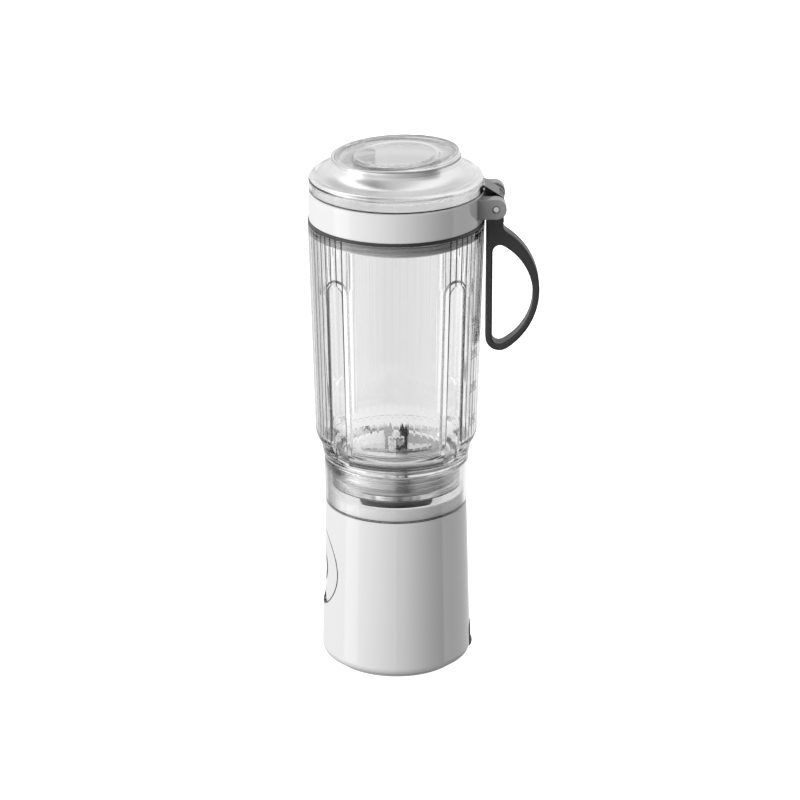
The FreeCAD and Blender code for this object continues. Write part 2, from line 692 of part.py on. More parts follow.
def lead_wires():
    """Pairs of leads from the motor, the cells and the charge board to the control board."""
    cell_z = CELL_LOW_Z + CELL_LENGTH + TAB_THICK + LEAD_R
    leads = []
    for side in (-1, 1):
        terminal_x, cell_x, charge_x = side * TERMINAL_X, side * CELL_X, side * 3.0
        pad_x = side * 13.5
        leads.append(lead([
            (terminal_x, -TERMINAL_HALF[1], 33), (terminal_x, -8, 33), (terminal_x, -17, 29),
            (terminal_x, BOARD_BACK_Y, 29)], 6.0))
        leads.append(lead([
            (cell_x, 2, cell_z), (cell_x, -11, cell_z), (pad_x, -17, 66), (pad_x, BOARD_BACK_Y, 66)], 4.0))
        leads.append(lead([
            (charge_x, 23, PORT_Z - SOCKET_SHELL[1]), (charge_x, 23, 19), (charge_x, -11, 19),
            (charge_x, -17, 28), (charge_x, BOARD_BACK_Y, 28)], 4.0))
    return Part.makeCompound(leads)


# ---------------------------------------------------------------- couplings
STAR_ROOT_R = 10.5
STAR_TIP_R = 14.4
STAR_HEIGHTS = (93.4, 97.8)
HUB_R = 7.5
HUB_HEIGHTS = (92.6, 98.2)
SHAFT_END_Z = 97.6
CUP_LOW_Z = 93.8
CUP_ROOF_Z = 98.9
CUP_HEAD_Z = 101.4
CUP_CHAMFER = 0.8
BLADE_SHAFT_LOW_Z = CUP_ROOF_Z + 0.7
TOOTH_ROOT = 0.27                  # half widths of a tooth, as parts of the pitch
TOOTH_CREST = 0.20


def spline(r_root, r_tip, z0, z1):
    """Six-toothed star, straight-sided teeth with flat crests."""
    tooth = 2 * math.pi / TEETH
    profile = ((-TOOTH_ROOT, r_root), (-TOOTH_CREST, r_tip), (TOOTH_CREST, r_tip), (TOOTH_ROOT, r_root))
    points = []
    for i in range(TEETH):
        for part, r in profile:
            turn = (i + part) * tooth
            points.append((r * math.cos(turn), r * math.sin(turn)))
    face = Part.Face(wire(points, lambda x, y: V(x, y, z0)))
    return face.extrude(V(0, 0, z1 - z0))


def drive_coupling():
    """Driving star on the motor's shaft."""
    star = spline(STAR_ROOT_R, STAR_TIP_R, *STAR_HEIGHTS)
    return fused(star, rod(HUB_R, *HUB_HEIGHTS)).cut(rod(MOTOR_SHAFT_R, HUB_HEIGHTS[0] - 1, SHAFT_END_Z))


def driven_coupling():
    """Cup that drops over the driving star and carries the blades' shaft."""
    low = CUP_LOW_Z - 1
    roof = lathe([
        (0, CUP_ROOF_Z), (COUPLING_R, CUP_ROOF_Z), (COUPLING_R, CUP_HEAD_Z - CUP_CHAMFER),
        (COUPLING_R - CUP_CHAMFER, CUP_HEAD_Z), (0, CUP_HEAD_Z)])
    skirt = rod(COUPLING_R, CUP_LOW_Z, CUP_ROOF_Z + 0.1)
    skirt = skirt.cut(spline(STAR_ROOT_R + COUPLING_GAP, STAR_TIP_R + COUPLING_GAP, low, CUP_ROOF_Z + 0.1))
    skirt = skirt.cut(rod(HUB_R + COUPLING_GAP, low, CUP_ROOF_Z + 0.1))
    return fused(roof, skirt).cut(rod(BLADE_SHAFT_R, BLADE_SHAFT_LOW_Z, CUP_HEAD_Z + 1))


# ---------------------------------------------------------------- blade unit
SHAFT_PASS_R = 3.4
BORE_RADIUS = 3.0
HOLDER_BOSS_R = 8.9
HOLDER_WALL = 2.0
BOSS_LOW_Z = 102.2
LOWER_BEARING_Z = 102.8
UPPER_BEARING_Z = 110.2
SEAL_LIP_Z = 116.6
SEAL_SEAT_Z = 115.2
HOLDER_CROWN_Z = HOLDER_TOP_Z + 0.5
FLOOR_Z = WEB_Z + WEB_THICK


def blade_collar():
    """Ring that joins jar and base: threaded bore above, smooth skirt over the spigot below."""
    outside = lathe([
        (0, COLLAR_LOW_Z), (COLLAR_LOW_R, COLLAR_LOW_Z), (COLLAR_TOP_R, COLLAR_TOP_Z - 0.5),
        (COLLAR_TOP_R - 0.5, COLLAR_TOP_Z), (0, COLLAR_TOP_Z)])
    under = lathe([
        (0, COLLAR_LOW_Z - 1), (COLLAR_BORE_R, COLLAR_LOW_Z - 1), (COLLAR_BORE_R, WEB_Z - BORE_RADIUS),
        ((COLLAR_BORE_R - 0.3 * BORE_RADIUS, WEB_Z - 0.3 * BORE_RADIUS), (COLLAR_BORE_R - BORE_RADIUS, WEB_Z)),
        (0, WEB_Z)])
    collar = outside.cut(under).cut(rod(COLLAR_THREAD_R, FLOOR_Z, COLLAR_TOP_Z + 1))
    # groove from below between the threaded wall and the outer wall keeps both walls thin
    groove = ring(COLLAR_BORE_R, COLLAR_THREAD_R + 1.9, WEB_Z - BORE_RADIUS, COLLAR_TOP_Z - 2.4)
    return collar.cut(groove).cut(rod(HOLDER_BOSS_R + 0.1, COLLAR_LOW_Z - 1, WEB_Z + 9))


def blade_holder():
    """Turned steel cup over the bearings, with a slightly domed top."""
    cup = lathe([
        (0, FLOOR_Z), (HOLDER_R, FLOOR_Z), (HOLDER_R, HOLDER_TOP_Z - 1.2),
        ((HOLDER_R - 0.35, HOLDER_TOP_Z - 0.35), (HOLDER_R - 1.2, HOLDER_TOP_Z)),
        (12.0, HOLDER_CROWN_Z), (0, HOLDER_CROWN_Z)])
    hollow = ring(HOLDER_R - HOLDER_WALL, HOLDER_BOSS_R, FLOOR_Z - 1, HOLDER_TOP_Z - 2.2)
    holder = fused(cup.cut(hollow), rod(HOLDER_BOSS_R, BOSS_LOW_Z, HOLDER_TOP_Z - 1))
    return holder.cut(rod(BEARING_R, LOWER_BEARING_Z, 200)).cut(rod(SHAFT_PASS_R, BOSS_LOW_Z - 2, 110))


def blade_bearings():
    bore_r = BLADE_SHAFT_R + RUNNING_GAP
    return Part.makeCompound([
        ring(BEARING_R, bore_r, z, z + BEARING_HEIGHT) for z in (LOWER_BEARING_Z, UPPER_BEARING_Z)])


def bearing_spacer():
    return ring(BEARING_R, SHAFT_PASS_R, LOWER_BEARING_Z + BEARING_HEIGHT, UPPER_BEARING_Z)


def shaft_seal():
    """Lip seal over the upper bearing, flush with the holder's crown."""
    inner_r = BLADE_SHAFT_R + RUNNING_GAP
    return lathe([
        (inner_r, SEAL_LIP_Z), (BEARING_R, SEAL_SEAT_Z), (BEARING_R, HOLDER_CROWN_Z), (inner_r, HOLDER_CROWN_Z)])


def jar_seal():
    """Flat ring with a bead for the jar's foot."""
    inner_r, bead_z = JAR_FOOT_BORE_R - 0.1, FLOOR_Z + 0.8
    return lathe([
        (inner_r, FLOOR_Z), (JAR_FOOT_R, FLOOR_Z), (JAR_FOOT_R, bead_z), (JAR_FOOT_R - 0.6, JAR_LOW_Z),
        (JAR_FOOT_R - 1.8, JAR_LOW_Z), (inner_r, bead_z)])


SHOULDER_R = 3.9
SHOULDER_LOW_Z = 119.3
BLADE_SHAFT_TOP_Z = 124.6
LOWER_BLADE_Z = 120.0
CROSS_Z = LOWER_BLADE_Z + BLADE_THICK
NUT_Z = CROSS_Z + BLADE_THICK
LOWER_HUB_R = 6.0
GRIND_SIDE = 2.2
GRIND_LEAN = 32.0
GRIND_SWEEP = 14.0
CROSS_HUB_R = 4.6
CROSS_TURN = 4.0
FOOT_HALF = 1.6
FOOT_REACH = 6.0
FIN_THICK = BLADE_THICK * 0.75
NUT_FLATS = 7.0
NUT_HEIGHT = 4.2
NUT_CROWN_R = 4.05


def blade_shaft():
    """Shaft with a shoulder under the blades."""
    shaft = rod(BLADE_SHAFT_R, BLADE_SHAFT_LOW_Z, BLADE_SHAFT_TOP_Z)
    return fused(shaft, rod(SHOULDER_R, SHOULDER_LOW_Z, LOWER_BLADE_Z))


def lower_blade():
    """Two swept wings with a ground leading edge."""
    wing = wire([
        (-3.0, -5.2), ((8.0, -5.6), (LOWER_BLADE_R, -1.6)), (LOWER_BLADE_R - 1.0, 1.0),
        ((9.0, 2.4), (3.0, 5.2)), (-3.0, 5.2)], lambda x, y: V(x, y, LOWER_BLADE_Z))
    wing = Part.Face(wing).extrude(V(0, 0, BLADE_THICK))
    grind = box(0, 30, -GRIND_SIDE, 0, 0, GRIND_SIDE)
    grind.rotate(V(0, 0, 0), ALONG_X, GRIND_LEAN)
    grind.rotate(V(0, 0, 0), UP, GRIND_SWEEP)
    grind.translate(V(6.5, -5.9, CROSS_Z - 1.0))
    wing = wing.cut(grind)
    blade = fused(wing, turned(wing, 180), rod(LOWER_HUB_R, LOWER_BLADE_Z, CROSS_Z))
    return turned(blade.cut(rod(BLADE_SHAFT_R, 100, 130)), LOWER_BLADE_TURN)


def prong(tip_z):
    """Forked fin on a narrow foot: it stands on edge over the nut, its plane through the axis."""
    top, low = tip_z - CROSS_Z, PRONG_LOW_Z - CROSS_Z
    notch = (low + top) / 2
    fin = Part.Face(wire([
        (4.6, 0), (6.0, 0), (6.1, low), (6.5, low + 1.4), (6.0, top), (4.6, notch), (3.0, top),
        (1.7, low + 0.8), (2.0, low), (4.4, low)], lambda x, z: V(x, 0, z))).extrude(V(0, FIN_THICK, 0))
    fin.rotate(V(0, 0, 0), ALONG_X, PRONG_LEAN)
    fin.translate(V(0, 0, CROSS_Z + 0.2))
    foot = box(0, FOOT_REACH, -FOOT_HALF, FOOT_HALF, CROSS_Z, NUT_Z)
    return fused(foot, fin.common(rod(20, CROSS_Z, 200)))


def blade_cross():
    """Two tall and two short forked fins round a hub."""
    fins = around(prong(PRONG_TIP_Z), 2, CROSS_TURN + 90) + around(prong(PRONG_SHORT_TIP_Z), 2, CROSS_TURN)
    cross = fused(fins[0], *fins[1:], rod(CROSS_HUB_R, CROSS_Z, NUT_Z))
    return cross.cut(rod(BLADE_SHAFT_R, 100, 130))


def blade_nut():
    """Domed hexagon nut, closed over the shaft's end."""
    corner = NUT_FLATS / math.sqrt(3)
    turns = [math.radians(60 * i) for i in range(6)]
    points = [(corner * math.cos(turn), corner * math.sin(turn)) for turn in turns]
    nut = Part.Face(wire(points, lambda x, y: V(x, y, NUT_Z))).extrude(V(0, 0, NUT_HEIGHT))
    crown = lathe([
        (0, NUT_Z), (NUT_CROWN_R, NUT_Z), (NUT_CROWN_R, NUT_Z + 2.8),
        ((3.0, NUT_Z + 3.7), (0, NUT_Z + NUT_HEIGHT))])
    return nut.common(crown).cut(rod(BLADE_SHAFT_R, 100, BLADE_SHAFT_TOP_Z))


# ---------------------------------------------------------------- jar
def groove_depth(degrees):
    """Full depth front and back, hardly any in the two side windows on +X and -X."""
    from_window = abs((degrees + 90) % 180 - 90)
    return GROOVE_DEPTH if from_window > WINDOW_HALF else FAINT_DEPTH


def staved_outline(z):
    """Closed wire round the jar at height z: smooth staves with a narrow round groove between each two."""
    r = jar_r(z)
    step = 2 * math.pi / STAVES
    half_groove = GROOVE_WIDTH / 2 / r

    def at(turn, radius=r):
        return V(radius * math.cos(turn), radius * math.sin(turn), z)

    edges = []
    for i in range(STAVES):
        middle = i * step
        valley = middle + step / 2
        left, right = valley - half_groove, valley + half_groove
        bottom = at(valley, r - groove_depth(math.degrees(valley)))
        edges.append(Part.Arc(at(right - step), at(middle), at(left)).toShape())
        edges.append(Part.Arc(at(left), bottom, at(right)).toShape())
    return Part.Wire(edges)


def channel(width, floor_r, low_z, top_z, soften):
    """Upright groove with an arched top; its floor leans out with the jar's taper."""
    half = width / 2
    floor = Part.Face(wire([
        (-half, low_z), (half, low_z), (half, top_z - half), ((0, top_z), (-half, top_z - half))],
        lambda y, z: V(floor_r, y, z)))
    groove = floor.extrude(V(20, 0, 0))
    rounded = [e for e in groove.Edges if all(abs(v.X - floor_r) < 1e-6 for v in e.Vertexes) and
               e.BoundBox.ZMax > low_z + 1]
    groove = groove.makeFillet(soften, rounded)
    groove.rotate(V(floor_r, 0, CHANNEL_END_Z), ALONG_Y, math.degrees(math.atan(JAR_TAPER)))
    return groove


def jar():
    """Fluted jar with four arched channels, a threaded foot below and a neck above."""
    smooth = lathe([
        (0, JAR_LOW_Z), (JAR_FOOT_R, JAR_LOW_Z), (JAR_FOOT_R, JAR_RIM_Z), (JAR_RIM_R, JAR_RIM_Z),
        ((39.5, 122.2), (41.0, 126.6)), ((42.6, 129.6), (JAR_CORNER_R + 0.05, JAR_CORNER_Z)),
        (JAR_TOP_R + 0.05, JAR_TOP_Z), (JAR_NECK_R, JAR_TOP_Z), (JAR_NECK_R, JAR_LIP_Z), (0, JAR_LIP_Z)])
    staves = Part.makeLoft([staved_outline(JAR_CORNER_Z - 12), staved_outline(JAR_TOP_Z)], True, True)
    core = lathe([
        (0, JAR_LOW_Z), (JAR_FOOT_R, JAR_LOW_Z), (JAR_FOOT_R, JAR_RIM_Z), (JAR_RIM_R, JAR_RIM_Z),
        ((39.2, 119.8), (39.9, 122.6)), (0, 122.6)])
    neck = rod(JAR_NECK_R, JAR_TOP_Z - 1, JAR_LIP_Z)
    outside = fused(smooth.common(staves), core, neck)
    inside = lathe([
        (0, JAR_LOW_Z - 1), (JAR_FOOT_BORE_R, JAR_LOW_Z - 1), (JAR_FOOT_BORE_R, HOLDER_TOP_Z + 1.0),
        (37.4, 128.6), ((39.4, 130.4), (JAR_CORNER_R - JAR_WALL, 134.0)),
        (jar_r(243) - JAR_WALL - 0.3, 243), (JAR_NECK_BORE_R, 247.0), (JAR_NECK_BORE_R, JAR_LIP_Z + 1),
        (0, JAR_LIP_Z + 1)])
    for turn in (45, 135, 225, 315):
        cut_out = channel(CHANNEL_WIDTH, CHANNEL_END_R, 110, CHANNEL_TOP_Z, 1.6)
        step = channel(CHANNEL_WIDTH - 0.6, CHANNEL_END_R - CHANNEL_STEP, 110, CHANNEL_STEP_Z, 1.2)
        outside = outside.cut(turned(cut_out, turn)).cut(turned(step, turn))
        bulge = channel(CHANNEL_WIDTH + 4.6, CHANNEL_END_R - JAR_WALL, 100, CHANNEL_TOP_Z + 2.3, 2.6)
        inside = inside.cut(turned(bulge, turn))
    inside = inside.fuse(rod(JAR_FOOT_BORE_R, JAR_LOW_Z - 1, 128))
    return outside.cut(inside).removeSplitter()


# ---------------------------------------------------------------- lid
RING_LIP_R = 43.2
EAR_ROOT_Y = 40.0
PIN_FIT = 0.08
VENT_R = 1.2
VENT_Y = 22.0
SPOUT_CORNER = 4.5
SLEEVE_WALL = 1.8


def lid_gasket():
    return ring(GASKET_R, JAR_NECK_R + 0.5, JAR_TOP_Z, RING_LOW_Z)


def lid_ring():
    """Band round the jar's neck with the hinge's two outer ears."""
    band = lathe([
        (0, RING_LOW_Z), (RING_R - 0.3, RING_LOW_Z), (RING_R, RING_LOW_Z + 0.3), (RING_R, RING_TOP_Z - 0.5),
        (RING_R - 0.5, RING_TOP_Z), (0, RING_TOP_Z)])
    ear = plate_x([
        (EAR_ROOT_Y, PIN_Z - EAR_R), (PIN_Y, PIN_Z - EAR_R), ((PIN_Y + EAR_R, PIN_Z), (PIN_Y, PIN_Z + EAR_R)),
        (EAR_ROOT_Y, PIN_Z + EAR_R)], EAR_INNER_X, EAR_OUTER_X)
    ear = ear.makeFillet(0.5, [e for e in ear.Edges if e.BoundBox.XLength < 1e-6 and e.BoundBox.YMax > 45])
    other = ear.mirror(V(0, 0, 0), ALONG_X)
    shell = fused(band, ear, other)
    bore = lathe([
        (0, RING_LOW_Z - 1), (RING_BORE_R, RING_LOW_Z - 1), (RING_BORE_R, DECK_LID_Z + DECK_LID_THICK),
        (RING_LIP_R, DECK_LID_Z + DECK_LID_THICK), (RING_LIP_R, RING_TOP_Z + 1), (0, RING_TOP_Z + 1)])
    shell = shell.cut(bore).cut(rod_x(PIN_R, -30, 30, PIN_Y, PIN_Z))
    for x0, x1 in ((-30, -PIN_RECESS_X), (PIN_RECESS_X, 30)):
        shell = shell.cut(rod_x(PIN_RECESS_R, x0, x1, PIN_Y, PIN_Z))
    return shell


def pour_deck():
    """Deck with the pouring spout, an air vent and the sleeve that plugs the jar."""
    disc = rod(DECK_LID_R, DECK_LID_Z, DECK_LID_Z + DECK_LID_THICK)
    sleeve = ring(SLEEVE_R, SLEEVE_R - SLEEVE_WALL, SLEEVE_LOW_Z, DECK_LID_Z + 0.5)
    spout = slab(SPOUT_LENGTH, SPOUT_WIDTH, DECK_LID_Z, SPOUT_TOP_Z, SPOUT_CORNER, 0, SPOUT_Y)
    mouth = slab(SPOUT_LENGTH - 2 * SPOUT_WALL, SPOUT_WIDTH - 2 * SPOUT_WALL, 200, 300, 3.2, 0, SPOUT_Y)
    return fused(disc, sleeve, spout).cut(mouth).cut(rod(VENT_R, 200, 300, 0, VENT_Y))


SEAL_RIDGES = 4
RIDGE_PITCH = 2.0
RIDGE_HEIGHT = 0.7
SEAL_THICK = 0.5


def deck_seal():
    """Silicone sleeve with sealing ridges, held on the deck's plug."""
    skin = SLEEVE_R + SEAL_THICK
    low = SLEEVE_LOW_Z + 0.6
    points = [(SLEEVE_R, low), (skin, low)]
    for i in range(SEAL_RIDGES):
        z = low + 0.4 + i * RIDGE_PITCH
        points += [(skin, z), (skin + RIDGE_HEIGHT, z + 0.7), (skin, z + 1.4)]
    top = low + 0.4 + SEAL_RIDGES * RIDGE_PITCH
    return lathe(points + [(skin, top), (SLEEVE_R, top)])


def hinge_pin():
    """Pin with rounded ends, sunk in the outer ears."""
    pin = rod_x(PIN_R, -PIN_HALF, PIN_HALF, PIN_Y, PIN_Z)
    return pin.makeFillet(PIN_R * 0.35, [e for e in pin.Edges if e.BoundBox.XLength < 1e-6])


def tilted_half(height, tilt):
    """Everything above a plane that crosses the axis at this height and rises to the back."""
    block = box(-80, 80, -80, 80, 0, 60)
    block.rotate(V(0, 0, 0), ALONG_X, tilt)
    block.translate(V(0, 0, height))
    return block


def moat(grow):
    """Ring-shaped cutter: steep round the lid's central plateau, then a long hollow up to the rim."""
    inner, outer, depth = MOAT_INNER_R - grow, MOAT_OUTER_R + grow, MOAT_DEPTH + grow
    cutter = lathe([
        (inner, 0), (inner, 4), (outer, 4), (outer, 0),
        ((inner + 0.45 * (outer - inner), -0.78 * depth), (inner + 0.6, -depth)), (inner, -depth + 0.6)])
    cutter.rotate(V(0, 0, 0), ALONG_X, CAP_TILT)
    cutter.translate(V(0, 0, CAP_DISC_Z))
    return cutter


CAP_EDGE_Z = 282.7
CAP_RIM = ((33.9, 284.4), (33.0, 285.4))
CAP_SHOULDER = ((44.6, 274.0), (41.5, 274.7))
CAP_WAIST = (37.0, 277.4)
CAP_INNER_SHOULDER = (40.4, 272.7)
CAP_INNER_WAIST = (35.3, 275.9)
CAP_INNER_EDGE = (32.2, 282.4)


def cap_hollow():
    """Space under the flip lid, bounded above by its disc and the skin under its ring-shaped hollow."""
    inner_r = RING_R - CAP_WALL
    hollow = lathe([
        (0, RING_TOP_Z), (inner_r, RING_TOP_Z), (inner_r, CAP_BAND_TOP_Z - 1.9), CAP_INNER_SHOULDER,
        (CAP_INNER_WAIST, CAP_INNER_EDGE), (CAP_INNER_EDGE[0] - 0.6, CAP_DISC_Z + 3), (0, CAP_DISC_Z + 3)])
    return hollow.cut(tilted_half(CAP_DISC_Z - CAP_WALL, CAP_TILT)).cut(moat(CAP_WALL))


def flip_lid():
    """Clear lid: upright band, rounded shoulder, hollow waist and a tilted disc with a ring-shaped hollow."""
    low = RING_TOP_Z + CAP_GAP
    r = RING_R
    outside = lathe([
        (0, low), (r - 0.2, low), (r, low + 0.3), (r, CAP_BAND_TOP_Z - 0.4), (r - 0.4, CAP_BAND_TOP_Z),
        CAP_SHOULDER, (CAP_WAIST, (CAP_DISC_R, CAP_EDGE_Z)), CAP_RIM, (CAP_RIM[1][0], CAP_DISC_Z + 4),
        (0, CAP_DISC_Z + 4)])
    outside = outside.cut(tilted_half(CAP_DISC_Z, CAP_TILT)).cut(moat(0.0))
    return fused(outside.cut(cap_hollow()).cut(hinge_clearance()), lid_strap())


def hinge_clearance():
    return rod_x(LID_EAR_R + 0.3, -60, 60, PIN_Y, PIN_Z)


STRAP_LEAN = math.radians(33.0)
STRAP_ROOT_Y = 44.3
STRAP_BEND = (47.6, 264.6)
STRAP_EAR_TURN = 0.5               # radians


def lid_strap():
    """Strap over the ring's edge, split into two thin ears round the pin."""
    top_y, top_z = PIN_Y + LID_EAR_R * math.sin(STRAP_LEAN), PIN_Z + LID_EAR_R * math.cos(STRAP_LEAN)
    ear_y, ear_z = PIN_Y + LID_EAR_R * math.cos(STRAP_EAR_TURN), PIN_Z + LID_EAR_R * math.sin(STRAP_EAR_TURN)
    low = RING_TOP_Z + CAP_GAP
    root_z = top_z + (top_y - STRAP_ROOT_Y) * math.tan(STRAP_LEAN)
    outline = [
        (STRAP_ROOT_Y, low), (RING_R + 0.5, low), (STRAP_BEND, (PIN_Y - LID_EAR_R, PIN_Z)),
        ((PIN_Y, PIN_Z - LID_EAR_R), (PIN_Y + LID_EAR_R, PIN_Z)), ((ear_y, ear_z), (top_y, top_z)),
        (STRAP_ROOT_Y, root_z)]
    strap = plate_x(outline, -LID_EAR_OUTER_X, LID_EAR_OUTER_X)
    strap = strap.cut(rod_x(LOOP_KNUCKLE_R + 0.35, -LID_EAR_INNER_X, LID_EAR_INNER_X, PIN_Y, PIN_Z))
    return strap.cut(rod_x(PIN_R + PIN_FIT, -20, 20, PIN_Y, PIN_Z))


PLUG_LENGTH = 26.0
PLUG_WIDTH = 12.4
PLUG_CORNER = 4.6
PLUG_EASE = 0.8


def spout_plug():
    """Pad under the lid's disc with a boss that enters the spout."""
    seat = SPOUT_TOP_Z + 0.4
    pad = slab(PLUG_LENGTH, PLUG_WIDTH, seat, CAP_DISC_Z, PLUG_CORNER, 0, SPOUT_Y).common(cap_hollow())
    inset = 2 * (SPOUT_WALL + PLUG_EASE)
    boss = slab(SPOUT_LENGTH - inset, SPOUT_WIDTH - inset, seat - 2.0, seat + 1, 2.4, 0, SPOUT_Y)
    return fused(pad, boss)


# ---------------------------------------------------------------- carry loop
def d_shape(centre, radius, flat_y, half, corners):
    """Disc along X cut off flat at flat_y; corners gives (z side, fillet radius) of its two corners."""
    disc = rod_x(radius, -half, half, *centre).common(box(-half, half, flat_y, 200, 0, 300))
    for side, fillet in corners:
        disc = disc.makeFillet(fillet, [
            e for e in disc.Edges
            if e.BoundBox.XLength > half and abs(e.BoundBox.YMin - flat_y) < 0.01
            and (e.BoundBox.ZMin - centre[1]) * side > 0])
    return disc


def carry_loop():
    """D-shaped loop with softened rims, hung on the pin by a broad slotted knuckle."""
    y, z = PIN_Y, PIN_Z
    body = d_shape((y + BOW_Y, z + BOW_Z), BOW_R, y - LOOP_NECK_BACK, LOOP_HALF, [(-1, 7.5)])
    neck = box(-LOOP_HALF, LOOP_HALF, y - LOOP_NECK_BACK, y + LOOP_NECK_FRONT, z - 20.0, z - 8.0)
    body = fused(body, neck)
    body = body.makeFillet(4.0, [
        e for e in body.Edges
        if e.BoundBox.XLength > LOOP_HALF and abs(e.BoundBox.YMin - y - LOOP_NECK_FRONT) < 0.01
        and e.BoundBox.ZMax < z - 10])
    hole = d_shape((y + HOLE_Y, z + HOLE_Z), HOLE_R, y + LEG_INNER_Y, LOOP_HALF + 2, [(-1, 3.8), (1, 3.8)])
    body = body.cut(hole)
    rims = [e for e in body.Edges if e.BoundBox.XLength < 1e-6 and e.BoundBox.ZMin < z - 8.1]
    body = body.makeFillet(LOOP_EDGE, rims)
    head = plate_x([
        (y - LOOP_KNUCKLE_R, z), ((y, z + LOOP_KNUCKLE_R), (y + LOOP_KNUCKLE_R, z)),
        ((y + LOOP_KNUCKLE_R * 0.87, z - LOOP_KNUCKLE_R * 0.5),
         (y + LOOP_KNUCKLE_R * 0.5, z - LOOP_KNUCKLE_R * 0.87)),
        (y + LOOP_NECK_FRONT, z - 7.4), (y + LOOP_NECK_FRONT, z - 9.6),
        (y - LOOP_NECK_BACK + 0.2, z - 9.6)], -LOOP_LOBE_X, LOOP_LOBE_X)
    head = head.makeFillet(1.0, [e for e in head.Edges if e.BoundBox.XLength > 20 and e.BoundBox.ZMax < z - 9])
    for side in (-1, 1):
        middle = side * (LID_EAR_INNER_X + LID_EAR_OUTER_X) / 2
        half = (LID_EAR_OUTER_X - LID_EAR_INNER_X) / 2 + 0.3
        head = head.cut(rod_x(LID_EAR_R + 0.3, middle - half, middle + half, y, z))
    return fused(body, head).cut(rod_x(PIN_R + PIN_FIT, -20, 20, y, z))


# ---------------------------------------------------------------- write
NODES = [
    base_housing, top_deck, seat_gasket, control_panel, indicator_bar, power_button, switch_plunger, tact_switch,
    control_board, port_cover, charge_socket, charge_board, bottom_cover, cover_screws, foot_pad,
    motor_mount, mount_screws, motor_screws, motor_can, motor_end_cap, motor_magnets, rotor_core, motor_shaft,
    battery_cells, battery_cradle, cell_tabs, lead_wires, drive_coupling,
    driven_coupling, blade_shaft, lower_blade, blade_cross, blade_nut,
    blade_collar, blade_holder, blade_bearings, bearing_spacer, shaft_seal, jar_seal,
    jar,
    lid_gasket, lid_ring, pour_deck, deck_seal, hinge_pin,
    flip_lid, spout_plug,
    carry_loop,
]

os.makedirs("parts", exist_ok=True)
for node in NODES:
    shape = node()
    if not shape.isValid() or not shape.Solids:
        raise ValueError(node.__name__ + " is not a valid solid")
    shape.exportStep("parts/" + node.__name__ + ".step")
    print(f"{node.__name__:18s} solids {len(shape.Solids)}  faces {len(shape.Faces)}  volume {shape.Volume:.0f}")
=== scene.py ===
import math

import bmesh
import bpy
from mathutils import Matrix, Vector


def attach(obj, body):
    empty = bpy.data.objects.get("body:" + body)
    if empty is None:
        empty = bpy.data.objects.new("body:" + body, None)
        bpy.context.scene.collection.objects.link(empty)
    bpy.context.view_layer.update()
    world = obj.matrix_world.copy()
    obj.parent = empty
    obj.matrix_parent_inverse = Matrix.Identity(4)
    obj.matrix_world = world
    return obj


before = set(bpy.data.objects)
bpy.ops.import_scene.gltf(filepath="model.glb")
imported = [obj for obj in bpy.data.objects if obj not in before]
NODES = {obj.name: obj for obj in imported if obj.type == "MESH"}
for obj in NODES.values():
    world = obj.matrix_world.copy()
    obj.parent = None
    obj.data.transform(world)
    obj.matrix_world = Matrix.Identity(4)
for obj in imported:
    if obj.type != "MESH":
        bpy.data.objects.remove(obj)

# Cordless portable blender: looks, light and camera.  Metres, +Z up, front (power button) -Y, hinge +Y.

SCENE = bpy.context.scene
MM = 0.001
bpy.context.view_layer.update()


# ---------------------------------------------------------------- camera
TARGET = Vector((0.0, 2.0, 147.0)) * MM
CAMERA_DISTANCE = 1.925
CAMERA_ELEVATION = math.radians(20.9)
CAMERA_LENS = 162.0


def make_camera():
    """Long lens on the +X side, looking along -X and down."""
    data = bpy.data.cameras.new("camera")
    data.lens = CAMERA_LENS
    data.sensor_width = 36.0
    data.clip_start = 0.05
    data.clip_end = 50.0
    camera = bpy.data.objects.new("camera", data)
    back = Vector((math.cos(CAMERA_ELEVATION), 0.0, math.sin(CAMERA_ELEVATION)))
    camera.location = TARGET + back * CAMERA_DISTANCE
    camera.rotation_mode = "QUATERNION"
    camera.rotation_quaternion = (-back).to_track_quat("-Z", "Y")
    SCENE.collection.objects.link(camera)
    SCENE.camera = camera


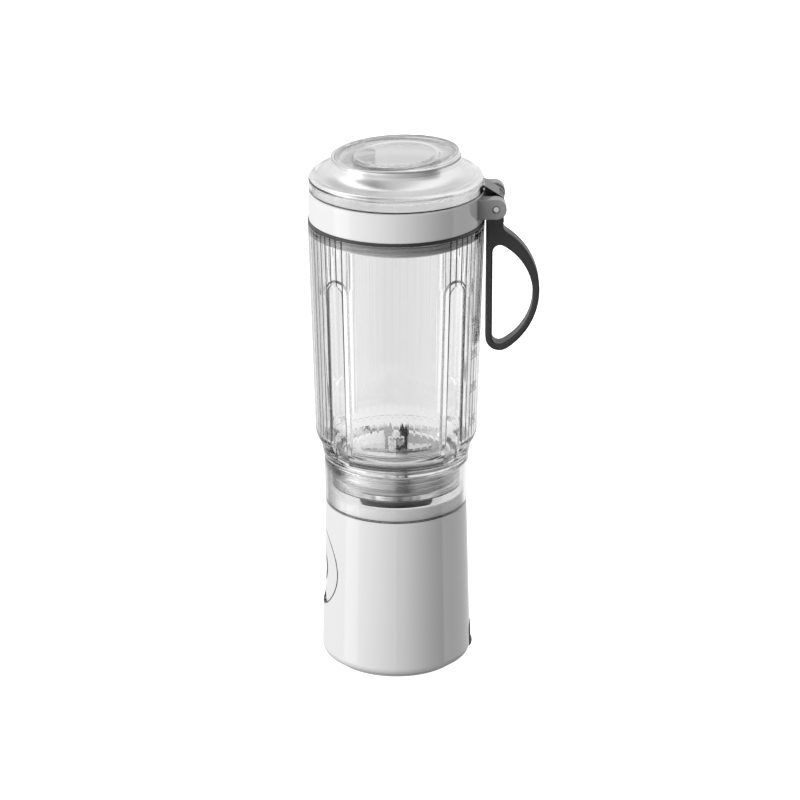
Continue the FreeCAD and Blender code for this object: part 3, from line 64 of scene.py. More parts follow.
# ---------------------------------------------------------------- shader helpers
class Shader:
    """A material's node tree with its Principled shader at hand."""

    def __init__(self, name):
        self.material = bpy.data.materials.new(name)
        self.material.use_nodes = True
        self.tree = self.material.node_tree
        self.bsdf = self.tree.nodes["Principled BSDF"]
        self.coords = self.add("ShaderNodeTexCoord").outputs["Object"]

    def add(self, kind, **inputs):
        node = self.tree.nodes.new(kind)
        for name, value in inputs.items():
            self.put(node.inputs[name.replace("_", " ")], value)
        return node

    def put(self, socket, value):
        if isinstance(value, bpy.types.NodeSocket):
            self.tree.links.new(value, socket)
        else:
            socket.default_value = value

    def surface(self, **inputs):
        for name, value in inputs.items():
            self.put(self.bsdf.inputs[name.replace("_", " ")], value)
        return self

    def stretched(self, x, y, z):
        return self.add("ShaderNodeMapping", Vector=self.coords, Scale=(x, y, z)).outputs["Vector"]

    def noise(self, scale, detail=2.0, at=None):
        where = at or self.coords
        return self.add("ShaderNodeTexNoise", Vector=where, Scale=scale, Detail=detail).outputs["Fac"]

    def spread(self, value, low, high, start=0.3, end=0.7):
        """From low to high as value goes from start to end, and level beyond them."""
        node = self.add("ShaderNodeMapRange", Value=value)
        node.inputs["From Min"].default_value = start
        node.inputs["From Max"].default_value = end
        node.inputs["To Min"].default_value = low
        node.inputs["To Max"].default_value = high
        return node.outputs["Result"]

    def blend(self, share, first, second):
        """From the first colour to the second as share goes from 0 to 1."""
        node = self.add("ShaderNodeMix")
        node.data_type = "RGBA"
        for place, value in zip((0, 6, 7), (share, first, second)):
            self.put(node.inputs[place], value)
        return node.outputs[2]

    def tint(self, share, first, second):
        """The same for two fixed greys or colours."""
        return self.blend(share, opaque(first), opaque(second))

    def compute(self, operation, first, second=0.0):
        node = self.add("ShaderNodeMath")
        node.operation = operation
        self.put(node.inputs[0], first)
        self.put(node.inputs[1], second)
        return node.outputs[0]

    def total(self, first, *others):
        for other in others:
            first = self.compute("ADD", first, other)
        return first

    def product(self, first, *others):
        for other in others:
            first = self.compute("MULTIPLY", first, other)
        return first

    def above(self, value, limit):
        return self.compute("GREATER_THAN", value, limit)

    def below(self, value, limit):
        return self.compute("LESS_THAN", value, limit)

    def near(self, value, middle, half_width):
        return self.below(self.compute("ABSOLUTE", self.compute("SUBTRACT", value, middle)), half_width)

    def place(self):
        """X, Y and Z of the point on the object at rest."""
        return tuple(self.add("ShaderNodeSeparateXYZ", Vector=self.coords).outputs)

    def edge_on(self):
        """0 where the surface faces the ray and 1 where it is seen edge on."""
        return self.add("ShaderNodeLayerWeight").outputs["Facing"]

    def vector(self, operation, first, second=None):
        node = self.add("ShaderNodeVectorMath", Vector=first)
        node.operation = operation
        if second is not None:
            self.put(node.inputs[1], second)
        return node.outputs["Value" if operation in ("LENGTH", "DOT_PRODUCT") else "Vector"]

    def radius(self, across=(1.0, 1.0, 0.0), centre=(0.0, 0.0, 0.0)):
        """Distance from the jar's axis, or from another line through centre."""
        away = self.vector("SUBTRACT", self.coords, centre)
        return self.vector("LENGTH", self.vector("MULTIPLY", away, across))

    def dot(self, way):
        """How far the point lies from the middle along a direction."""
        return self.vector("DOT_PRODUCT", self.coords, way)

    def inward(self, centre):
        """1 on faces that look towards a point under a shell, 0 on its outer faces."""
        away = self.vector("SUBTRACT", self.coords, centre)
        facing = self.vector("DOT_PRODUCT", away, self.add("ShaderNodeTexCoord").outputs["Normal"])
        side = self.compute("MULTIPLY_ADD", self.add("ShaderNodeNewGeometry").outputs["Backfacing"], -2.0)
        side.node.inputs[2].default_value = 1.0
        return self.below(self.compute("MULTIPLY", facing, side), 0.0)

    def bump(self, height, strength, depth):
        node = self.add("ShaderNodeBump", Height=height, Strength=strength, Distance=depth)
        self.put(self.bsdf.inputs["Normal"], node.outputs["Normal"])
        return self


def colour(value):
    """A colour as it is, or a grey as red, green and blue."""
    return value if isinstance(value, tuple) else (value, value, value)


def opaque(value):
    """The same with full alpha."""
    return (*colour(value), 1.0)


# ---------------------------------------------------------------- materials
# Places on the object in metres: heights from the floor, radii from the jar's axis, y towards the hinge.
# A pair of places is where a change starts and ends, and so is a pair for an edge, from 0 (seen face on)
# to 1 (edge on).  Greys are linear.
WHITE = (0.84, 0.87)
# grey of the painted shade in the round gaps
GAP_SHADE_GREY = 0.01
PANEL_Z = 0.0535
# painted shade in the gaps round the control panel and round the power button: radius, half its width, from y,
# to y
PANEL_GAP_SHADE = (0.0226, 0.0006, -0.05, -0.02)
BUTTON_GAP_SHADE = (0.0098, 0.0007, -0.03775, -0.02)
# ears of the screw ring, greyed by painted shade: the radius of their root, where the shade lightens along y,
# and its greys
EAR_ROOT_R = 0.0461
EAR_SHADE_Y = (0.042, 0.057)
EAR_PAINTED_SHADE = (0.19, 0.36)

DECK_GREY = (0.70, 0.76)
SPIGOT_INNER_R = 0.0350
# strength of the painted light on the deck inside the spigot
DECK_PAINTED_LIGHT = 0.4
COUPLING_SEAT_R = 0.0195
SEAT_GREY = 0.03

JAR_CLEAR = 0.985
JAR_LOW_R, JAR_TOP_R = 0.0433, 0.0466
JAR_LOW_Z, JAR_TOP_Z = 0.1335, 0.2483
# how far under the jar's outer wall a groove starts to be darkened by painted shade, is fully dark, and ends
GROOVE_DEPTHS = (0.00001, 0.0002, 0.0011)
GROOVE_PAINTED_SHADE = 0.03
# painted shade on the jar's front seen edge on: edge range, side, heights, its share higher up, and its grey
JAR_EDGE = (0.36, 0.6)
JAR_SHADE_Y = (-0.026, -0.018)
JAR_SHADE_Z = (0.132, 0.140)
JAR_UPPER_SHADE = 0.35
JAR_EDGE_PAINTED_SHADE = 0.5
JAR_FOOT_TOP_Z = 0.1265
JAR_FOOT_SKIN_R = 0.0382
JAR_FOOT_FROST = 0.12

CAP_CLEAR = 0.97
CAP_DARK = 0.05
CAP_CENTRE = (0.0, 0.0, 0.258)
CAP_EAR_Y = 0.0463
# band: painted shade as dark lines at its foot and at the fold to the cone, the fold's strongest at the front
CAP_EDGE_R = 0.0452
CAP_FOOT_Z = 0.2669
CAP_FOLD_Z = 0.2721
CAP_FOLD_HALF = 0.0004
CAP_FOLD_Y = (-0.036, -0.016)
CAP_FOLD_REAR = 0.3
CAP_EDGE_COVER = 0.75
# cone: painted metallic sheen on its outer face, and frost on its inner faces
CAP_BAND_TOP_Z = 0.2725
CAP_DISC_R = 0.0322
CONE_PAINTED_SHEEN = 0.5
CONE_PAINTED_SHEEN_ROUGH = 0.24
CAP_CONE_FROST = 0.30
CAP_DISC_FROST = 0.14
CAP_FROST_Z = (0.2790, 0.2805)
# disc: fine rings in its hollow, two lines of painted shade at its rim, and a crescent of painted shade beside
# the plateau
CAP_TOP_Z = 0.2803
CAP_RINGS_R = (0.0232, 0.0330)
CAP_RING_PITCH = 0.0009
CAP_LINES_R = (0.0323, 0.0339)
CAP_LINE_HALF = 0.00022
CAP_LINE_SHADE = 0.7
CRESCENT_R = (0.0224, 0.0290)
CRESCENT_WAY = (0.6, -0.8, 0.0)
CRESCENT_REACH = (-0.004, 0.016)
CRESCENT_SHADE = 0.75

COLLAR_CLEAR = 0.97
COLLAR_SKIN_R = (0.0379, 0.0380)
COLLAR_FROST = 0.1
# painted shade on the collar's front seen edge on: edge range, its widening higher up, side, heights, its share
# lower down, and its grey
COLLAR_EDGE = (0.41, 0.56)
COLLAR_EDGE_WIDER = 0.14
COLLAR_SHADE_Y = (-0.030, -0.022)
COLLAR_SHADE_Z = (0.110, 0.114)
COLLAR_LOWER_SHADE = 0.6
COLLAR_EDGE_PAINTED_SHADE = 0.03

# where painted shade darkens the cup towards the hinge side
CUP_SHADE_Y = (-0.002, 0.006)
# where the fins' painted light gives way to painted shade, and the wire's black to red
AXIS_SPLIT = (-0.0005, 0.0005)


def gloss_white(name="gloss_white", gap_shade=None, ears=False):
    """Polished white ABS: faint moulding ripple, ears darkened by painted shade, and a dark line of painted
    shade where a round gap runs.
    """
    s = Shader(name)
    shade = s.tint(s.noise(14.0), *WHITE)
    _, y, _ = s.place()
    # painted shade on the ears, darkest next to the ring and lighter further out
    if ears:
        grey = s.tint(s.spread(y, 0.0, 1.0, *EAR_SHADE_Y), *EAR_PAINTED_SHADE)
        shade = s.blend(s.above(s.radius(), EAR_ROOT_R), shade, grey)
    # painted shade: a dark line in a round gap, round the control panel or round the power button
    if gap_shade:
        radius, half_width, front, back = gap_shade
        away = s.radius((1.0, 0.0, 1.0), (0.0, 0.0, PANEL_Z))
        line = s.product(s.near(away, radius, half_width), s.above(y, front), s.below(y, back))
        shade = s.blend(line, shade, opaque(GAP_SHADE_GREY))
    s.surface(Base_Color=shade, Roughness=s.spread(s.noise(60.0), 0.07, 0.12))
    return s.bump(s.noise(160.0, 1.0), 0.05, 0.0004).material


def satin_grey():
    """Light grey moulded deck, with painted light (a faint emission) inside the spigot and a dark seat round
    the coupling.
    """
    s = Shader("satin_grey")
    inner = s.below(s.radius(), SPIGOT_INNER_R)
    seat = s.below(s.radius(), COUPLING_SEAT_R)
    # painted light: the deck inside the spigot emits a little, in place of light that hardly reaches it
    painted_light = s.compute("MULTIPLY", s.compute("SUBTRACT", inner, seat), DECK_PAINTED_LIGHT)
    s.surface(Base_Color=s.blend(seat, s.tint(s.noise(30.0), *DECK_GREY), opaque(SEAT_GREY)),
              Roughness=s.spread(s.noise(300.0), 0.30, 0.42),
              Emission_Color=opaque(1.0), Emission_Strength=painted_light)
    return s.bump(s.noise(1800.0, 3.0), 0.15, 0.0002).material


def clear_plastic(name, clear):
    """Clear copolyester, and the slow waves that moulding leaves in it."""
    s = Shader(name)
    s.surface(Base_Color=opaque(clear), Transmission_Weight=1.0, IOR=1.5, Roughness=0.0)
    return s, s.noise(40.0, 0.0)


def jar_plastic():
    """Clear jar: painted shade in its grooves and channel sides and on its front where that is seen edge on,
    and a frosted foot.
    """
    s, waves = clear_plastic("jar_plastic", JAR_CLEAR)
    _, y, z = s.place()
    outer_r = s.spread(z, JAR_LOW_R, JAR_TOP_R, JAR_LOW_Z, JAR_TOP_Z)
    depth = s.compute("SUBTRACT", outer_r, s.radius())
    begins, full, ends = GROOVE_DEPTHS
    # painted shade: grooves darkened as refraction darkens them
    groove_shade = s.product(s.spread(depth, 0.0, 1.0, begins, full), s.below(depth, ends),
                        s.below(z, JAR_TOP_Z), s.above(z, JAR_LOW_Z))
    # painted shade on the front where it is seen edge on, weaker higher up
    edge = s.product(s.spread(s.edge_on(), 0.0, 1.0, *JAR_EDGE), s.spread(y, 1.0, 0.0, *JAR_SHADE_Y),
                     s.spread(z, 1.0, JAR_UPPER_SHADE, *JAR_SHADE_Z))
    shade = s.tint(edge, JAR_CLEAR, JAR_EDGE_PAINTED_SHADE)
    foot = s.product(s.below(z, JAR_FOOT_TOP_Z), s.below(s.radius(), JAR_FOOT_SKIN_R))
    s.surface(Base_Color=s.blend(groove_shade, shade, opaque(GROOVE_PAINTED_SHADE)),
              Roughness=s.compute("MULTIPLY", foot, JAR_FOOT_FROST))
    return s.bump(waves, 0.006, 0.0005).material


def cap_plastic():
    """Clear lid: a painted metallic sheen on its cone, which is frosted inside, dark ears, painted shade as
    dark lines on its band and rim and as a crescent in its top, and rings in its top.
    """
    s, waves = clear_plastic("cap_plastic", CAP_CLEAR)
    _, y, z = s.place()
    radius = s.radius()
    inside = s.inward(CAP_CENTRE)
    outside = s.compute("SUBTRACT", 1.0, inside)
    over_band = s.above(z, CAP_BAND_TOP_Z)
    top = s.above(z, CAP_TOP_Z)

    # painted sheen: the clear cone's outer face made partly metallic
    painted_sheen = s.product(over_band, s.above(radius, CAP_DISC_R), outside)
    frost = s.product(inside, over_band, s.spread(z, CAP_CONE_FROST, CAP_DISC_FROST, *CAP_FROST_Z))

    # painted shade: dark lines at the band's foot and fold, two at the disc's rim, and a crescent beside the
    # plateau
    band = s.above(radius, CAP_EDGE_R)
    foot = s.product(band, s.below(z, CAP_FOOT_Z))
    fold = s.product(band, s.near(z, CAP_FOLD_Z, CAP_FOLD_HALF),
                     s.spread(y, 1.0, CAP_FOLD_REAR, *CAP_FOLD_Y))
    edges = s.compute("ADD", foot, fold)
    lines = s.total(*(s.near(radius, line_r, CAP_LINE_HALF) for line_r in CAP_LINES_R))
    lines = s.product(lines, top, CAP_LINE_SHADE)
    crescent = s.product(s.spread(radius, CRESCENT_SHADE, 0.0, *CRESCENT_R),
                         s.spread(s.dot(CRESCENT_WAY), 0.0, 1.0, *CRESCENT_REACH),
                         top, s.above(radius, CRESCENT_R[0]))
    dark = s.compute("MINIMUM", 1.0, s.total(s.above(y, CAP_EAR_Y), crescent, edges, lines))

    s.surface(Base_Color=s.tint(dark, CAP_CLEAR, CAP_DARK),
              Roughness=s.total(frost, s.compute("MULTIPLY", painted_sheen, CONE_PAINTED_SHEEN_ROUGH)),
              Metallic=s.compute("MAXIMUM", s.compute("MULTIPLY", edges, CAP_EDGE_COVER),
                                 s.compute("MULTIPLY", painted_sheen, CONE_PAINTED_SHEEN)))
    rings = s.compute("SINE", s.compute("MULTIPLY", radius, 2 * math.pi / CAP_RING_PITCH))
    rings = s.product(rings, top, outside, s.above(radius, CAP_RINGS_R[0]), s.below(radius, CAP_RINGS_R[1]))
    return s.bump(s.compute("ADD", rings, waves), 0.03, 0.0003).material


def collar_plastic():
    """Clear collar, slightly frosted on its inner walls, with painted shade on its front where it is seen edge
    on.
    """
    s, waves = clear_plastic("collar_plastic", COLLAR_CLEAR)
    _, y, z = s.place()
    # painted shade on the front where it is seen edge on, wider and stronger higher up
    edge = s.compute("ADD", s.edge_on(), s.spread(z, 0.0, COLLAR_EDGE_WIDER, *COLLAR_SHADE_Z))
    shade = s.product(s.spread(edge, 0.0, 1.0, *COLLAR_EDGE), s.spread(y, 1.0, 0.0, *COLLAR_SHADE_Y),
                      s.spread(z, COLLAR_LOWER_SHADE, 1.0, *COLLAR_SHADE_Z))
    s.surface(Roughness=s.spread(s.radius(), COLLAR_FROST, 0.0, *COLLAR_SKIN_R),
              Base_Color=s.tint(shade, COLLAR_CLEAR, COLLAR_EDGE_PAINTED_SHADE))
    return s.bump(waves, 0.01, 0.0005).material


def rubber(name, dark, light, rough):
    """Soft-touch rubber with a fine grain."""
    s = Shader(name)
    s.surface(Base_Color=s.tint(s.noise(40.0), dark, light),
              Roughness=s.spread(s.noise(500.0), rough, rough + 0.1))
    return s.bump(s.noise(2600.0, 3.0), 0.25, 0.00012).material


def silicone(name, dark, light, rough=0.28):
    """Milky silicone with a soft sheen."""
    s = Shader(name)
    s.surface(Base_Color=s.tint(s.noise(50.0), dark, light),
              Roughness=s.spread(s.noise(400.0), rough, rough + 0.1),
              Coat_Weight=0.5, Coat_Roughness=0.15)
    return s.bump(s.noise(1200.0, 2.0), 0.15, 0.00015).material


def steel(name, dark, light, rough, stretch=(60.0, 60.0, 2200.0), strength=0.25):
    """Stainless steel with fine grinding lines along one direction."""
    s = Shader(name)
    lines = s.noise(1.0, 4.0, at=s.stretched(*stretch))
    s.surface(Base_Color=s.tint(lines, dark, light), Metallic=1.0,
              Roughness=s.spread(lines, rough, rough + 0.15))
    return s.bump(lines, strength, 0.00008).material


def cup_steel():
    """Smooth turned cup, darkened by painted shade towards the hinge side."""
    s = Shader("cup_steel")
    _, y, _ = s.place()
    s.surface(Base_Color=s.tint(s.spread(y, 0.0, 1.0, *CUP_SHADE_Y), 0.9, 0.4), Metallic=1.0,
              Roughness=s.spread(s.noise(300.0), 0.16, 0.24))
    return s.material


def fin_steel():
    """Ground fins: painted light on one side of the cross and painted shade on the other."""
    s = Shader("fin_steel")
    lines = s.noise(1.0, 4.0, at=s.stretched(60.0, 60.0, 2200.0))
    _, y, _ = s.place()
    # painted light on the -y side of the cross and painted shade on the +y side
    s.surface(Base_Color=s.tint(s.spread(y, 0.0, 1.0, *AXIS_SPLIT), 0.85, 0.1), Metallic=1.0,
              Roughness=s.spread(lines, 0.2, 0.35))
    return s.bump(lines, 0.15, 0.00008).material


def moulded(name, dark, light, rough=0.45):
    """Plain moulded plastic of inner parts, with a spark-eroded grain."""
    s = Shader(name)
    s.surface(Base_Color=s.tint(s.noise(35.0), dark, light),
              Roughness=s.spread(s.noise(200.0), rough, rough + 0.12))
    return s.bump(s.noise(2400.0, 3.0), 0.2, 0.00012).material


def circuit_board():
    """Green board with paler copper tracks under the solder resist."""
    s = Shader("circuit_board")
    small = s.stretched(260.0, 260.0, 260.0)
    tracks = s.add("ShaderNodeTexBrick", Vector=small, Scale=1.0).outputs["Fac"]
    s.surface(Base_Color=s.tint(tracks, (0.012, 0.10, 0.035), (0.03, 0.19, 0.07)), Roughness=0.3)
    return s.bump(tracks, 0.2, 0.00005).material


def wire_cover():
    """Insulation: red on one side of the axis and black on the other."""
    s = Shader("wire_cover")
    x, _, _ = s.place()
    s.surface(Base_Color=s.tint(s.spread(x, 0.0, 1.0, *AXIS_SPLIT), 0.02, (0.42, 0.02, 0.02)),
              Roughness=s.spread(s.noise(300.0), 0.35, 0.45))
    return s.bump(s.noise(900.0), 0.1, 0.0001).material


def make_materials():
    return {
        "gloss_white": gloss_white(),
        "ring_white": gloss_white("ring_white", ears=True),
        "panel_white": gloss_white("panel_white", PANEL_GAP_SHADE),
        "button_white": gloss_white("button_white", BUTTON_GAP_SHADE),
        "satin_grey": satin_grey(),
        "jar_plastic": jar_plastic(),
        "cap_plastic": cap_plastic(),
        "collar_plastic": collar_plastic(),
        "dark_rubber": rubber("dark_rubber", 0.035, 0.05, 0.38),
        "black_rubber": rubber("black_rubber", 0.008, 0.014, 0.45),
        "silicone": silicone("silicone", 0.42, 0.50),
        "plug_silicone": silicone("plug_silicone", 0.62, 0.68),
        "seal_silicone": silicone("seal_silicone", 0.40, 0.48, 0.12),
        "grey_print": moulded("grey_print", 0.52, 0.58),
        "fin_steel": fin_steel(),
        "bright_blade": steel("bright_blade", 0.72, 0.86, 0.18),
        "bright_steel": steel("bright_steel", 0.88, 0.96, 0.35, (400.0, 2200.0, 2200.0), 0.1),
        "cup_steel": cup_steel(),
        "turned_metal": steel("turned_metal", 0.82, 0.9, 0.16, (20.0, 20.0, 300.0), 0.0),
        "plated_steel": steel("plated_steel", 0.35, 0.48, 0.25),
        "dark_nylon": moulded("dark_nylon", 0.012, 0.02),
        "grey_lens": moulded("grey_lens", 0.16, 0.2, 0.2),
        "inner_plastic": moulded("inner_plastic", 0.45, 0.52),
        "circuit_board": circuit_board(),
        "cell_wrap": moulded("cell_wrap", (0.02, 0.07, 0.22), (0.03, 0.1, 0.3), 0.25),
        "wire_cover": wire_cover(),
    }


NODE_MATERIAL = {
    "gloss_white": ("pour_deck",),
    "ring_white": ("lid_ring",),
    "panel_white": ("base_housing", "control_panel"),
    "button_white": ("power_button",),
    "satin_grey": ("top_deck",),
    "jar_plastic": ("jar",),
    "cap_plastic": ("flip_lid",),
    "collar_plastic": ("blade_collar",),
    "dark_rubber": ("carry_loop", "lid_gasket"),
    "black_rubber": ("port_cover", "seat_gasket"),
    "silicone": ("jar_seal", "shaft_seal"),
    "plug_silicone": ("spout_plug", "foot_pad"),
    "seal_silicone": ("deck_seal",),
    "fin_steel": ("blade_cross",),
    "bright_blade": ("lower_blade", "blade_nut", "blade_shaft"),
    "bright_steel": ("hinge_pin", "charge_socket", "cell_tabs"),
    "cup_steel": ("blade_holder",),
    "turned_metal": ("blade_bearings", "bearing_spacer"),
    "plated_steel": ("motor_can", "motor_shaft", "rotor_core", "motor_magnets",
                     "cover_screws", "mount_screws", "motor_screws"),
    "dark_nylon": ("drive_coupling", "driven_coupling", "motor_end_cap", "tact_switch", "switch_plunger"),
    "grey_lens": ("indicator_bar",),
    "inner_plastic": ("bottom_cover", "battery_cradle", "motor_mount"),
    "circuit_board": ("control_board", "charge_board"),
    "cell_wrap": ("battery_cells",),
    "wire_cover": ("lead_wires",),
}


CLEAR_NODES = ("jar", "flip_lid", "blade_collar")


def dress_nodes():
    for name, nodes in NODE_MATERIAL.items():
        for node in nodes:
            for material_slot in NODES[node].material_slots:
                material_slot.material = MATERIALS[name]
    for node in CLEAR_NODES:
        NODES[node].visible_shadow = False


# ---------------------------------------------------------------- pieces of the scene alone
def piece(name, mesh, material, body):
    """Put a mesh in the scene, riding on a body."""
    thing = bpy.data.objects.new(name, mesh)
    mesh.materials.append(MATERIALS[material])
    SCENE.collection.objects.link(thing)
    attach(thing, body)
    return thing


def mesh_of(name, shape):
    bmesh.ops.recalc_face_normals(shape, faces=shape.faces)
    mesh = bpy.data.meshes.new(name)
    shape.to_mesh(mesh)
    shape.free()
    return mesh


def skin(shape, loops):
    """Join loops of four points into a closed bar."""
    for one, two in zip(loops, loops[1:]):
        for k in range(4):
            shape.faces.new((one[k], one[(k + 1) % 4], two[(k + 1) % 4], two[k]))
    shape.faces.new(loops[0])
    shape.faces.new(loops[-1])


# name, wall radius, crest radius, height of its start, pitch, turns, material, body, slot
THREADS = (
    ("jar_foot_thread", 31.0, 31.4, 109.2, 3.0, 2.0, "jar_plastic", "jar_body", "clear_plastic"),
    ("collar_thread", 32.3, 31.95, 107.6, 3.0, 2.2, "collar_plastic", "blade_unit", "clear_plastic"),
    ("jar_neck_thread", 43.4, 43.95, 251.5, 3.5, 1.6, "jar_plastic", "jar_body", "clear_plastic"),
    ("lid_ring_thread", 44.5, 44.15, 252.6, 3.5, 1.6, "gloss_white", "lid", "gloss_white"),
)
THREAD_STEPS = 72
THREAD_ROOT = 0.05
# half the ridge's foot as a share of the pitch, and its crest as a share of its foot
THREAD_HALF = 0.24
THREAD_CREST = 0.45


def thread(name, wall_r, crest_r, low, pitch, turns, material, body, slot):
    """Screw thread on a wall of radius wall_r, its ends running out; radii and heights in millimetres."""
    steps = round(turns * THREAD_STEPS)
    run_out = THREAD_STEPS / 8
    root = wall_r - math.copysign(THREAD_ROOT, crest_r - wall_r)
    half = pitch * THREAD_HALF
    flat = half * THREAD_CREST
    shape = bmesh.new()
    loops = []
    for i in range(steps + 1):
        turn = 2 * math.pi * i / THREAD_STEPS
        height = low + pitch * i / THREAD_STEPS
        rise = min(1.0, i / run_out, (steps - i) / run_out)
        crest = wall_r + (crest_r - wall_r) * rise
        section = ((root, height - half), (crest, height - flat),
                   (crest, height + flat), (root, height + half))
        points = [Vector((r * math.cos(turn), r * math.sin(turn), z)) * MM for r, z in section]
        loops.append([shape.verts.new(point) for point in points])
    skin(shape, loops)
    return piece(name, mesh_of(name, shape), material, body)


BUTTON_FACE_Y = -37.75
BUTTON_DISH_R = 60.0
BUTTON_Z = 53.5
SYMBOL_R = 4.3
SYMBOL_LINE = 0.9
SYMBOL_GAP = math.radians(34)
SYMBOL_STEPS = 48
SYMBOL_SINK, SYMBOL_PROUD = 0.1, 0.12
SYMBOL_DROP = 0.5
SYMBOL_BAR = (0.6, 3.0, 5.4)


def button_face_y(x, z):
    """Where the power button's hollowed face lies at x, z."""
    reach = math.sqrt(BUTTON_DISH_R ** 2 - x ** 2 - (z - BUTTON_Z) ** 2)
    return BUTTON_FACE_Y - BUTTON_DISH_R + reach


def power_symbol():
    """Open ring with an upright bar, the common power sign, inlaid a little proud of the button."""
    shape = bmesh.new()
    corners = ((-1, -SYMBOL_SINK), (-1, SYMBOL_PROUD), (1, SYMBOL_PROUD), (1, -SYMBOL_SINK))

    def strip(centre_line, across):
        """Flat band of even width: four corners at each point of its centre line."""
        loops = []
        for (x, z), (dx, dz) in zip(centre_line, across):
            loop = []
            for side, proud in corners:
                px = x + side * dx * SYMBOL_LINE / 2
                pz = z + side * dz * SYMBOL_LINE / 2
                loop.append(shape.verts.new(Vector((px, button_face_y(px, pz) - proud, pz)) * MM))
            loops.append(loop)
        skin(shape, loops)

    sweep = 2 * math.pi - 2 * SYMBOL_GAP
    turns = [math.pi / 2 + SYMBOL_GAP + sweep * i / SYMBOL_STEPS for i in range(SYMBOL_STEPS + 1)]
    around = [(math.cos(t), math.sin(t)) for t in turns]
    strip([(SYMBOL_R * c, BUTTON_Z - SYMBOL_DROP + SYMBOL_R * s) for c, s in around], around)
    strip([(0.0, BUTTON_Z + rise) for rise in SYMBOL_BAR], [(1.0, 0.0)] * len(SYMBOL_BAR))
    return piece("power_symbol", mesh_of("power_symbol", shape), "black_rubber", "button")


# fill marks: the jar's bore, the height where it starts and the outer wall that carries them
FILL_FLOOR_Z = 121.0
FILL_BORE_R = 41.0
FILL_STEP_ML = 100
FILL_MARKS = 4
MARK_TURN = math.radians(61)
MARK_PROUD = 0.02
NUMBER_SIZE = 5.94
NUMBER_RISE = 0.9
NUMBER_THICK = 0.04
TICK_LENGTH = 10.0
TICK_CELLS = 12
# a tick's section: up the wall, out of the wall
TICK_SECTION = ((-0.25, -0.04), (0.25, -0.04), (0.25, 0.06), (-0.25, 0.06))


def jar_r(z):
    """Radius of the jar's outer wall at height z, in millimetres."""
    share = (z * MM - JAR_LOW_Z) / (JAR_TOP_Z - JAR_LOW_Z)
    return (JAR_LOW_R + (JAR_TOP_R - JAR_LOW_R) * share) / MM


def wrap_on_jar(mesh, z0):
    """Lay a flat mesh (x along, y up, z outwards, in millimetres) on the jar's wall at height z0."""
    for vertex in mesh.vertices:
        across, up, out = vertex.co
        height = z0 + up
        r = jar_r(height) + out + MARK_PROUD
        turn = MARK_TURN + across / jar_r(height)
        vertex.co = Vector((r * math.cos(turn), r * math.sin(turn), height)) * MM


def number_mesh(number):
    text = bpy.data.curves.new("number", "FONT")
    text.body = str(number)
    text.size = NUMBER_SIZE
    text.extrude = NUMBER_THICK
    thing = bpy.data.objects.new("number", text)
    SCENE.collection.objects.link(thing)
    mesh = bpy.data.meshes.new_from_object(thing)
    bpy.data.objects.remove(thing)
    return mesh


def tick_mesh():
    shape = bmesh.new()
    loops = []
    for k in range(TICK_CELLS + 1):
        across = TICK_LENGTH * k / TICK_CELLS
        loops.append([shape.verts.new((across, up, out)) for up, out in TICK_SECTION])
    skin(shape, loops)
    return mesh_of("tick", shape)


def fill_marks():
    """A tick and its number for every 100 ml, printed up the jar on the hinge side."""
    step = FILL_STEP_ML * 1000 / (math.pi * FILL_BORE_R ** 2)
    for i in range(1, FILL_MARKS + 1):
        z = FILL_FLOOR_Z + i * step
        number, tick = number_mesh(i * FILL_STEP_ML), tick_mesh()
        wrap_on_jar(number, z + NUMBER_RISE)
        wrap_on_jar(tick, z)
        piece(f"fill_number_{i}", number, "grey_print", "jar_body")
        piece(f"fill_tick_{i}", tick, "grey_print", "jar_body")


# ---------------------------------------------------------------- light
# The studio round the object, by compass angle: 0 is the camera's side, +90 the hinge side.
MIRRORED = (
    (-180, 1.0), (-150, 1.0), (-110, 1.1), (-90, 1.1), (-88, 2.4), (-64, 2.4), (-62, 1.1), (-30, 0.9),
    (20, 0.45), (52, 0.15), (56, 0.06), (79, 0.06), (81, 1.2), (120, 1.1), (150, 1.0), (180, 1.0))
SEEN_THROUGH = (
    (-180, 0.8), (-177, 0.82), (-174, 1.05), (-156, 1.05), (-146, 0.3), (-132, 0.4),
    (-115, 1.2), (-100, 1.6), (-75, 1.6), (-50, 1.0), (-25, 0.75), (-5, 0.5), (5, 0.18),
    (22, 0.15), (35, 0.7), (55, 0.8), (80, 0.6), (110, 0.6), (125, 0.45), (140, 0.5),
    (150, 1.05), (173, 1.05), (177, 0.82), (180, 0.8))
# Sine of the height angle over which the ring gives way to the floor and to the ceiling, and the levels of
# both in gloss (mirrored) and through plastic (seen).
FLOOR_SINE = (-0.52, -0.44)
CEILING_SINE = (0.42, 0.58)
MIRRORED_FLOOR = 0.15
MIRRORED_CEILING = (
    (-180, 0.7), (-150, 0.4), (-128, 0.55), (-113, 1.8), (-93, 1.8), (-78, 0.5), (-62, 0.1),
    (-42, 0.15), (-12, 0.5), (20, 0.6), (80, 1.3), (110, 1.1), (130, 0.6), (180, 0.7))
SEEN_FLOOR = 0.9
SEEN_CEILING = 0.9
DIFFUSE_LIGHT = 0.31
BACKDROP_LIGHT = 1.0
FLOOR_LIGHT = 1.0


